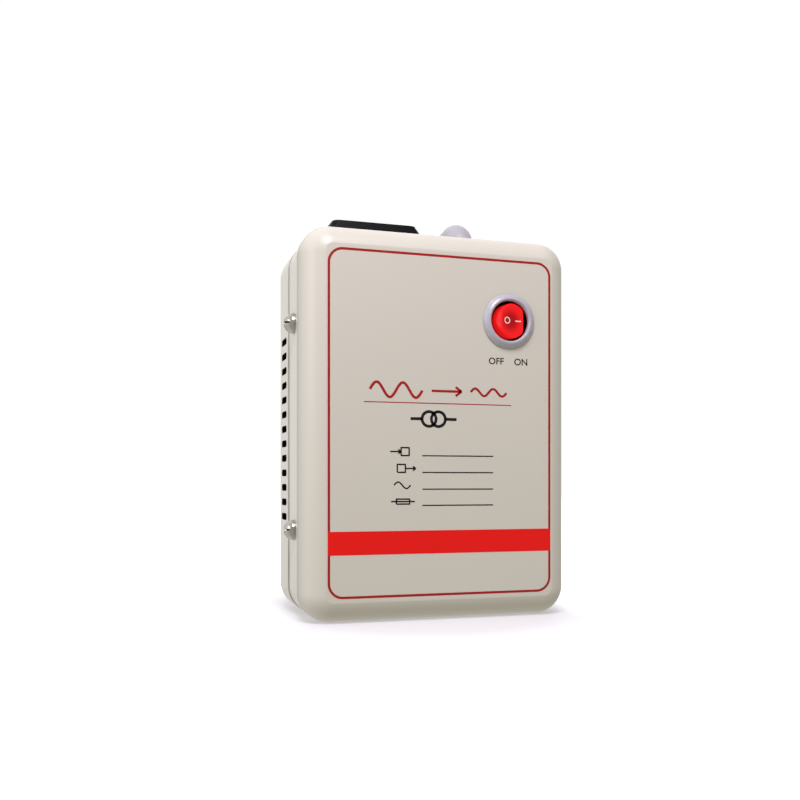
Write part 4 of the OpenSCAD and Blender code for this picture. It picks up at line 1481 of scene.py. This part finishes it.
@dataclass
class MainsCord:
    """Mains cord on one smooth route: over the back edge, down, into a coil and out to the plug."""

    diameter: float = 7.0
    exit_at: Triple = (20.0, 30.0, 168.0)
    exit_len: float = 5.0
    drop_r: float = 30.0
    floor_r: float = 29.0
    join_len: float = 2.0
    coil_gap: float = 0.6
    coil_r: float = 44.0
    turns_in: float = 2.0
    turns_fall: float = 0.5
    turns_out: float = 2.25
    turn_steps: int = 24
    tail_len: float = 45.5
    tail_shift: float = 4.4
    tie_t: float = 0.9
    tie_gap: float = 0.3
    tie_w: float = 5.0
    tie_round: float = 2.0
    tie_bevel: float = 0.225
    plug_z: float = 7.0
    steps: int = 4

    @property
    def pitch(self) -> float:
        """Distance between neighbouring loops."""
        return self.diameter + self.coil_gap

    @property
    def low_z(self) -> float:
        """Height of the coil's lower layer."""
        return self.tie_t + self.tie_gap + self.diameter / 2

    @property
    def drop_y(self) -> float:
        """Place behind the case where the cord hangs straight down."""
        return self.exit_at[1] + self.exit_len + self.drop_r

    @property
    def centre(self) -> np.ndarray:
        """Middle of the coil on the floor."""
        return np.array([self.exit_at[0] + self.coil_r, self.drop_y + self.floor_r + 2 * self.join_len])

    def loop_radius(self, turn: np.ndarray) -> np.ndarray:
        """Radius at a turn: it falls by a pitch a turn to the middle of the coil and grows again."""
        back = self.turns_in + self.turns_fall / 2
        return self.coil_r - self.pitch * (back - np.abs(turn - back))

    def drop(self) -> np.ndarray:
        """Way to the coil: a quarter bend over the edge, a straight fall and a quarter bend.

        Returns:
            Array of shape (points, 3).
        """
        x, tip_y, top_z = self.exit_at
        high_z = self.low_z + self.pitch
        over = arc((self.drop_y - self.drop_r, top_z - self.drop_r), self.drop_r, 90, 0, 12)
        under = arc((self.drop_y + self.floor_r, high_z + self.floor_r), self.floor_r, 180, 270, 12)
        fall = np.linspace(over[-1], under[0], 12)[1:-1]
        ends = np.array([[tip_y, top_z], [under[-1, 0] + self.join_len, high_z]])
        return level(np.concatenate([ends[:1], over, fall, under, ends[1:]]), x, 0)

    def coil(self) -> np.ndarray:
        """Coil: centre + radius (-cos, sin), one layer down after the inward turns.

        Returns:
            Array of shape (points, 3).
        """
        total = self.turns_in + self.turns_fall + self.turns_out
        turn = np.arange(int(total * self.turn_steps) + 1) / self.turn_steps
        angle = 2 * np.pi * turn
        reach = self.loop_radius(turn)
        x = self.centre[0] - reach * np.cos(angle)
        y = self.centre[1] + reach * np.sin(angle)
        fallen = np.clip((turn - self.turns_in) / self.turns_fall, 0, 1)
        return np.column_stack([x, y, self.low_z + self.pitch * (1 - fallen)])

    def tail(self, leave: np.ndarray) -> np.ndarray:
        """Way to the plug: straight ends, and between them a shift that eases in and out.

        Args:
            leave: Point where the cord has left the coil.

        Returns:
            Points from there to the plug.
        """
        straight = np.array([self.diameter, 0, 0])
        plug = np.array([leave[0] - self.tail_len, leave[1] + self.tail_shift, self.plug_z])
        u = np.linspace(0, 1, 9)[:, None]
        eased = u**2 * (3 - 2 * u)
        start, end = leave - straight, plug + straight
        way = start + (end - start) * np.concatenate([u, eased, eased], axis=1)
        return np.concatenate([[leave], way, [plug]])

    def route(self) -> np.ndarray:
        """Centreline from the boot's tip to the plug.

        Returns:
            Array of shape (points, 3).
        """
        coil = self.coil()
        tail = self.tail(coil[-1] - np.array([self.diameter, 0, 0]))
        return spline(np.concatenate([self.drop(), coil, tail]), self.steps)

    def tie(self) -> Surface:
        """Strap round the loops on the right of the coil: a band along a rounded loop.

        Returns:
            The strap, closed on itself.
        """
        middle = self.turns_in + self.turns_fall
        spare = self.diameter / 2 + self.tie_gap
        low, high = self.loop_radius(np.array([middle, middle + 2.0])) + np.array([-spare, spare])
        room = self.pitch + self.diameter + 2 * self.tie_gap
        half = np.array([high - low, room]) / 2
        edge, bulge, thick = self.tie_w / 2, self.tie_bevel, self.tie_t
        section = [(0.0, -edge), (thick - bulge, -edge), (thick, -edge + bulge)]
        section += [(out, -along) for out, along in section[::-1]]
        rings = [
            level(rounded_outline(half + out, self.tie_round + out, 12), along, 1) for out, along in section
        ]
        place = (self.centre[0] + (low + high) / 2, self.centre[1], thick + room / 2)
        return loft(np.stack(rings), closed=True).moved(place)

    def build(self, plug_pieces: Sequence[bpy.types.Object]) -> None:
        """Args:
            plug_pieces: The plug's body and pins. Not used.
        """
        path = self.route()
        cord = make_piece(
            "mains_cord",
            sweep(path, self.diameter / 2, 20),
            CORD_VINYL,
            replaces=["cord_stretch", "cord_coil", "cord_tail"],
        )
        tie = make_piece("cord_tie", self.tie(), BLACK_PLASTIC, replaces=["coil_tie"])


@dataclass
class MainsPlug:
    """Flat two-pin plug that points to -X, with a ribbed boot round the cord."""

    entry: Triple = (11.5, 56.5, 7.0)
    boot_len: float = 20.0
    boot_r: Pair = (4.2, 5.5)
    boot_in: float = 5.0
    ribs: int = 4
    rib_pitch: float = 3.6
    rib_deep: float = 0.45
    half: Pair = (7.0, 17.5)
    corner_r: float = 5.0
    length: float = 22.0
    round_r: float = 2.2
    waist: float = 0.9

    def boot(self) -> Surface:
        """Turned taper with a cosine rib for each pitch.

        Returns:
            The boot along +Z.
        """
        whole = self.boot_len + self.boot_in
        along = np.linspace(0, whole, 151)
        rib = self.rib_deep * (0.5 - 0.5 * np.cos(2 * np.pi * along / self.rib_pitch))
        ribbed = (along > self.rib_pitch) * (along < (self.ribs + 1) * self.rib_pitch)
        radius = np.interp(along, (0, whole), self.boot_r) - rib * ribbed
        return revolve(np.concatenate([[[0.0, 0.0]], np.column_stack([radius, along]), [[0.0, whole]]]), 48)

    def shell(self) -> Surface:
        """Rounded rectangles along the body: both ends rounded, with a shallow waist to grip.

        Returns:
            The body along +Z.
        """
        back = self.round_r - arc((0, 0), self.round_r, 90, 0, 9)
        along = np.linspace(self.round_r, self.length - self.round_r, 21)[1:-1]
        share = (along - self.round_r) / (self.length - 2 * self.round_r)
        grip = np.column_stack([self.waist * np.sin(np.pi * share) ** 2, along])
        front = np.column_stack([back[::-1, 0], self.length - back[::-1, 1]])
        profile = np.concatenate([back, grip, front])
        flat = rounded_outlines(self.half, self.corner_r, profile[:, 0], 12)
        place = np.broadcast_to((self.boot_len + profile[:, 1])[:, None, None], (*flat.shape[:2], 1))
        return loft(np.concatenate([flat, place], axis=-1))

    def build(self) -> bpy.types.Object:
        """Makes the plug's body and gives it back."""
        whole = Surface.joined([self.boot(), self.shell()]).turned(spin(1, -90)).moved(self.entry)
        return make_piece("plug_shell", whole, CORD_VINYL, replaces=["plug_body"])


@dataclass
class FrontPrint:
    """Screen print on the front face: a red border and band, and plain electrical signs.

    Places are in the face frame: x to the right, y up from the base, z out of the face. A wave of the
    title has a start, an end, a swing and a width, and its arrow a start, an end, a head and a width.
    """

    rise: float = 0.03
    sunk: float = 0.2
    border_half: Pair = (47.7, 69.2)
    border_r: float = 5.7
    border_w: float = 1.0
    band_rise: float = 0.02
    band: Pair = (27.6, 37.0)
    bend_points: tuple[float, ...] = (0.0, 0.02, 0.5, 0.98)
    arrow_spread: float = 0.7
    title_y: float = 93.9
    title_waves: tuple[tuple[float, ...], ...] = ((-31.0, -9.0, 3.0, 1.1), (12.0, 28.0, 1.5, 1.0))
    title_arrow: tuple[float, ...] = (-5.0, 8.0, 2.6, 1.0)
    title_rule: Triple = (-33.4, 30.1, 88.8)
    title_rule_w: float = 0.4
    sign_y: float = 82.4
    sign_r: float = 3.0
    sign_w: float = 1.2
    sign_rings: Pair = (-6.1, -2.1)
    sign_leads: tuple[Pair, Pair] = ((-14.0, -9.1), (0.9, 5.8))
    rows: tuple[float, ...] = (69.0, 62.2, 55.4, 48.8)
    row_start: float = -21.0
    row_w: float = 0.6
    box_half: float = 1.6
    fuse_half: float = 1.0
    row_head: float = 1.2
    row_swing: float = 1.3
    rule: Pair = (-9.0, 22.0)
    rule_drop: float = 1.6
    rule_w: float = 0.5
    words: tuple[tuple[str, float], ...] = (("OFF", 23.4), ("ON", 34.6))
    words_y: float = 105.8
    words_h: float = 2.7
    capital_share: float = 0.69
    bold: float = 0.014

    def on_face(self, name: str, parts: Sequence[Surface], finish: Finish) -> None:
        """Stands parts, drawn in the face frame with z = 0 on the face, on the front as one piece."""
        make_piece(name, Surface.joined(parts).turned(UPRIGHT).moved((0, FACE_Y, 0)), finish)

    def ribbon(self, line: np.ndarray, width: float, closed: bool = False) -> Surface:
        """Flat line of ink: the line offset to both sides, from under the face to just above it.

        Args:
            line: Rows of (x, y) in the face frame.
            width: Width of the line.
            closed: Whether the line is a loop.

        Returns:
            The ink as a closed surface.
        """
        if closed:
            ahead = np.roll(line, -1, axis=0) - np.roll(line, 1, axis=0)
        else:
            ahead = np.gradient(line, axis=0)
        ahead = ahead / np.linalg.norm(ahead, axis=1, keepdims=True)
        side = width / 2 * np.column_stack([-ahead[:, 1], ahead[:, 0]])
        section = ((-1, -self.sunk), (1, -self.sunk), (1, self.rise), (-1, self.rise))
        return loft(np.stack([level(line + way * side, z) for way, z in section], axis=1), closed)

    def stroke(self, width: float, *points: Pair) -> Surface:
        """Ink along straight lines, with extra points close to each bend so that its width holds.

        Args:
            width: Width of the line.
            points: Its corners.

        Returns:
            The ink as a closed surface.
        """
        corner = np.array(points, float)
        t = np.array(self.bend_points)[:, None]
        legs = [a + (b - a) * t for a, b in zip(corner[:-1], corner[1:])]
        return self.ribbon(np.concatenate(legs + [corner[-1:]]), width)

    def wave(self, start: float, end: float, y: float, swing: float, periods: int, width: float) -> Surface:
        """Ink along a sine line.

        Args:
            start: Place where it starts.
            end: Place where it ends.
            y: Height of its middle.
            swing: Height of a crest above the middle.
            periods: Number of whole waves.
            width: Width of the line.

        Returns:
            The ink as a closed surface.
        """
        t = np.linspace(0, 1, 40 * periods + 1)
        crest = y + swing * np.sin(2 * np.pi * periods * t)
        return self.ribbon(np.column_stack([start + (end - start) * t, crest]), width)

    def arrow(self, start: float, end: float, y: float, head: float, width: float) -> list[Surface]:
        """Shaft and a two-stroke head.

        Args:
            start: Place where the shaft starts.
            end: Place of the tip.
            y: Height of the shaft.
            head: Length of the head.
            width: Width of the lines.

        Returns:
            The three strokes.
        """
        spread = self.arrow_spread * head
        tails = ((start, y), (end - head, y + spread), (end - head, y - spread))
        return [self.stroke(width, tail, (end, y)) for tail in tails]

    def box(self, left: float, right: float, y: float, half: float) -> Surface:
        """Rectangle of ink about a row's height."""
        low, high = y - half, y + half
        return self.stroke(self.row_w, (left, low), (right, low), (right, high), (left, high), (left, low))

    def title(self) -> list[Surface]:
        """A tall wave, a low wave, a rule and an arrow: high voltage in, low voltage out.

        Returns:
            The strokes.
        """
        y, (left, right, low) = self.title_y, self.title_rule
        waves = [self.wave(start, end, y, swing, 2, width) for start, end, swing, width in self.title_waves]
        rule = self.stroke(self.title_rule_w, (left, low), (right, low))
        start, end, head, width = self.title_arrow
        return [*waves, rule, *self.arrow(start, end, y, head, width)]

    def sign(self) -> list[Surface]:
        """Transformer sign: two rings that overlap, with a lead on each side.

        Returns:
            The strokes.
        """
        y = self.sign_y
        loops = [arc((x, y), self.sign_r, 0, 360, 49)[:-1] for x in self.sign_rings]
        rings = [self.ribbon(loop, self.sign_w, closed=True) for loop in loops]
        return rings + [self.stroke(self.sign_w, (left, y), (right, y)) for left, right in self.sign_leads]

    def table(self) -> list[Surface]:
        """Four rows, each with a small sign and a blank rule: in, out, alternating current, fuse.

        Returns:
            The strokes.
        """
        x, width = self.row_start, self.row_w
        into, out, wave, fuse = self.rows
        return [
            *self.arrow(x - 1.6, x + 3.0, into, self.row_head, width),
            *self.arrow(x + 4.6, x + 9.2, out, self.row_head, width),
            self.box(x + 3.0, x + 6.4, into, self.box_half),
            self.box(x + 1.4, x + 4.8, out, self.box_half),
            self.wave(x, x + 7.0, wave, self.row_swing, 1, width),
            self.box(x + 1.0, x + 6.6, fuse, self.fuse_half),
            self.stroke(width, (x - 1.2, fuse), (x + 8.8, fuse)),
            *[self.stroke(self.rule_w, *[(end, y - self.rule_drop) for end in self.rule]) for y in self.rows],
        ]

    def lettering(self, words: str, x: float) -> Surface:
        """Words as a thin solid, on the line under the switch.

        Args:
            words: What to write.
            x: Middle of the words.

        Returns:
            The letters.
        """
        curve = bpy.data.curves.new("lettering", "FONT")
        curve.body = words
        curve.align_x = "CENTER"
        curve.offset = self.bold
        scale = self.words_h / self.capital_share
        curve.extrude = (self.rise + self.sunk) / 2 / scale
        made = link(bpy.data.objects.new("lettering", curve))
        mesh = evaluated_mesh(made)
        points = np.empty(len(mesh.vertices) * 3)
        mesh.vertices.foreach_get("co", points)
        faces = [tuple(polygon.vertices) for polygon in mesh.polygons]
        bpy.data.objects.remove(made)
        bpy.data.meshes.remove(mesh)
        spot = np.array([x, self.words_y, (self.rise - self.sunk) / 2])
        return Surface(points.reshape(-1, 3) * scale + spot, faces)

    def build(self) -> None:
        """Makes the red and the dark print."""
        loop = rounded_outline(self.border_half, self.border_r, 16) + np.array([0, CASE_H / 2])
        edge, middle = self.border_half[0] + self.border_w / 2, sum(self.band) / 2
        stripe = self.stroke(self.band[1] - self.band[0], (-edge, middle), (edge, middle))
        self.on_face("print_border", [self.ribbon(loop, self.border_w, closed=True)], LINE_RED)
        self.on_face("print_band", [stripe.moved((0, 0, self.band_rise))], BAND_RED)
        self.on_face("print_title", self.title(), LINE_RED)
        self.on_face("print_signs", self.sign() + self.table(), DARK_INK)
        self.on_face("print_switch", [self.lettering(*word) for word in self.words], DARK_INK)


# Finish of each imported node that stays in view
NODE_FINISHES: dict[str, Finish] = {
    "plug_pins": NICKEL,
    "switch_housing": BLACK_PLASTIC,
    "switch_lamp": LAMP_GLASS,
    "switch_plunger": BRASS,
    "switch_blade": WINDING_COPPER,
    "switch_terminals": BRASS,
    "socket_insert": BLACK_PLASTIC,
    "socket_contacts": BRASS,
    "earth_contact": BRASS,
    "core_e": CORE_STEEL,
    "core_i": CORE_STEEL,
    "bobbin": BOBBIN_NYLON,
    "primary_winding": WINDING_COPPER,
    "output_winding": WINDING_COPPER,
    "winding_wrap": WRAP_TAPE,
    "thermal_cutout": BOBBIN_NYLON,
    "core_bolts": NICKEL,
    "core_nuts": NICKEL,
    "terminal_board": BOARD_FIBRE,
    "board_screws": NICKEL,
    "fuse_clips": BRASS,
    "fuse": LAMP_GLASS,
    "supply_leads": LEAD_BROWN,
    "output_leads": LEAD_BLUE,
}


def aim(made: bpy.types.Object, place: Triple, way: Vector) -> None:
    """Puts a lamp or camera at a place, looking along a way."""
    made.location = place
    made.rotation_euler = way.to_track_quat("-Z", "Y").to_euler()


@dataclass
class Lamp:
    """A soft square light: its place, its target, its side in metres, its power and its tint."""

    name: str
    place: Triple
    target: Triple
    side: float
    power: float
    tint: Colour

    def build(self) -> None:
        """Makes the area light, turned towards its target."""
        light = bpy.data.lights.new(self.name, "AREA")
        light.size = self.side
        light.energy = self.power
        light.color = self.tint
        made = link(bpy.data.objects.new(self.name, light))
        aim(made, self.place, Vector(self.target) - Vector(self.place))


@dataclass
class Studio:
    """White room with a pale floor, soft lights and the photograph's camera.

    Each half of the sky, above and below, has a dim and a bright colour and the place on its ramp
    where it is bright.
    """

    camera_at: Triple = (-0.12755, -0.4015, 0.05623)
    camera_way: Triple = (0.30619, 0.95197, 0.0)
    lens: float = 42.54
    sensor: float = 36.0
    shift: Pair = (-0.025, 0.104)
    clip_start: float = 0.01
    white_side: Triple = (-0.45, 0.9, 0.0)
    above: tuple[Colour, Colour, float] = ((0.475, 0.473, 0.47), (1.02, 1.02, 1.02), 0.35)
    below: tuple[Colour, Colour, float] = ((0.54, 0.53, 0.46), (0.82, 0.81, 0.83), 0.45)
    below_from: Pair = (-0.12, -0.04)
    floor_side: float = 6.0
    floor_mottle: Mottle = Mottle(8.0)
    floor_tones: tuple[Colour, Colour] = ((0.54, 0.54, 0.54), (0.58, 0.58, 0.58))
    floor_rough: float = 0.6
    floor_glow: tuple[Colour, Colour] = ((0.275, 0.265, 0.285), (0.8, 0.8, 0.8))
    glow_from: Pair = (0.06, 0.13)
    glow_side: Pair = (0.052, 0.085)
    lamps: list[Lamp] = field(
        default_factory=lambda: [
            Lamp("key", (-0.12, -0.38, 0.6), (0.0, 0.0, 0.12), 0.25, 3.35, (1.0, 0.96, 1.08)),
            Lamp("left", (-1.2, -0.3, 0.5), (0.0, 0.0, 0.08), 0.6, 3.3, (0.97, 0.97, 1.03)),
        ]
    )

    def camera(self) -> None:
        """Places the camera level, with its frame shifted as in the photograph."""
        data = bpy.data.cameras.new("camera")
        data.lens = self.lens
        data.sensor_width = self.sensor
        data.shift_x, data.shift_y = self.shift
        data.clip_start = self.clip_start
        made = link(bpy.data.objects.new("camera", data))
        aim(made, self.camera_at, Vector(self.camera_way))
        bpy.context.scene.camera = made

    def floor_material(self) -> bpy.types.Material:
        """Faint mottle with a glow that grows away from the case's middle or past its sides.

        Returns:
            The floor's material.
        """
        graph = Graph(bpy.data.materials.new("floor_white"))
        away = graph.node("ShaderNodeVectorMath", {"operation": "LENGTH"}, {0: graph.place()}, "Value")
        lit = away.step(*self.glow_from).larger(abs(graph.axis("X")).step(*self.glow_side))
        return graph.surface(
            {
                "Base Color": graph.mix(self.floor_mottle.on(graph), *self.floor_tones),
                "Roughness": self.floor_rough,
                "Emission Color": graph.mix(lit, *self.floor_glow),
                "Emission Strength": 1.0,
            }
        )

    def floor(self) -> None:
        """Pale floor that casts no light or shadow on the object."""
        half = self.floor_side / 2
        mesh = bpy.data.meshes.new("floor")
        square = [(-half, -half, 0), (half, -half, 0), (half, half, 0), (-half, half, 0)]
        mesh.from_pydata(square, [], [(0, 1, 2, 3)])
        mesh.materials.append(self.floor_material())
        made = link(bpy.data.objects.new("floor", mesh))
        made.visible_diffuse = False
        made.visible_glossy = False
        made.visible_shadow = False

    def sky(self) -> None:
        """Light from all round: white from the back and the left, dimmer from the front and from below."""
        world = bpy.data.worlds.new("studio")
        bpy.context.scene.world = world
        graph = Graph(world)
        way = graph.node("ShaderNodeTexCoord", output="Generated")
        inputs = {0: way, 1: self.white_side}
        side = graph.node("ShaderNodeVectorMath", {"operation": "DOT_PRODUCT"}, inputs, "Value")
        low, high = (
            graph.ramp(side, [(0.0, dim), (place, bright)]) for dim, bright, place in (self.below, self.above)
        )
        up = graph.node("ShaderNodeSeparateXYZ", {}, {0: way}, "Z")
        limits = dict(zip(("From Min", "From Max"), self.below_from))
        rise = graph.node("ShaderNodeMapRange", {}, {"Value": up, **limits})
        graph.end("ShaderNodeBackground", "ShaderNodeOutputWorld", {"Color": graph.mix(rise, low, high)})

    def build(self) -> None:
        """Makes the camera, floor, sky and lamps, and keeps whites white."""
        self.camera()
        self.floor()
        self.sky()
        for lamp in self.lamps:
            lamp.build()
        bpy.context.scene.view_settings.view_transform = "Standard"


def corners(box: Any) -> list[list[float]]:
    """A box's lowest and highest corners as plain lists."""
    return [[float(x) for x in corner] for corner in box]


def main() -> None:
    """Loads the frame, builds the studio and every sub-assembly, and gives the imported nodes that stay in
    view their finishes.
    """
    logging.basicConfig(level=logging.INFO, format="%(name)s: %(message)s")
    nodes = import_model()["nodes"]
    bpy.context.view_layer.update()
    Studio().build()
    MainsCord().build([MainsPlug().build(), nodes["plug_pins"]])
    for kind in (StrainRelief, CaseShells, SideScrews, RockerSwitch, OutputSocket, FrontPrint):
        kind().build()
    for name, finish in NODE_FINISHES.items():
        dress_node(nodes[name], finish)


if __name__ == "__main__":
    main()
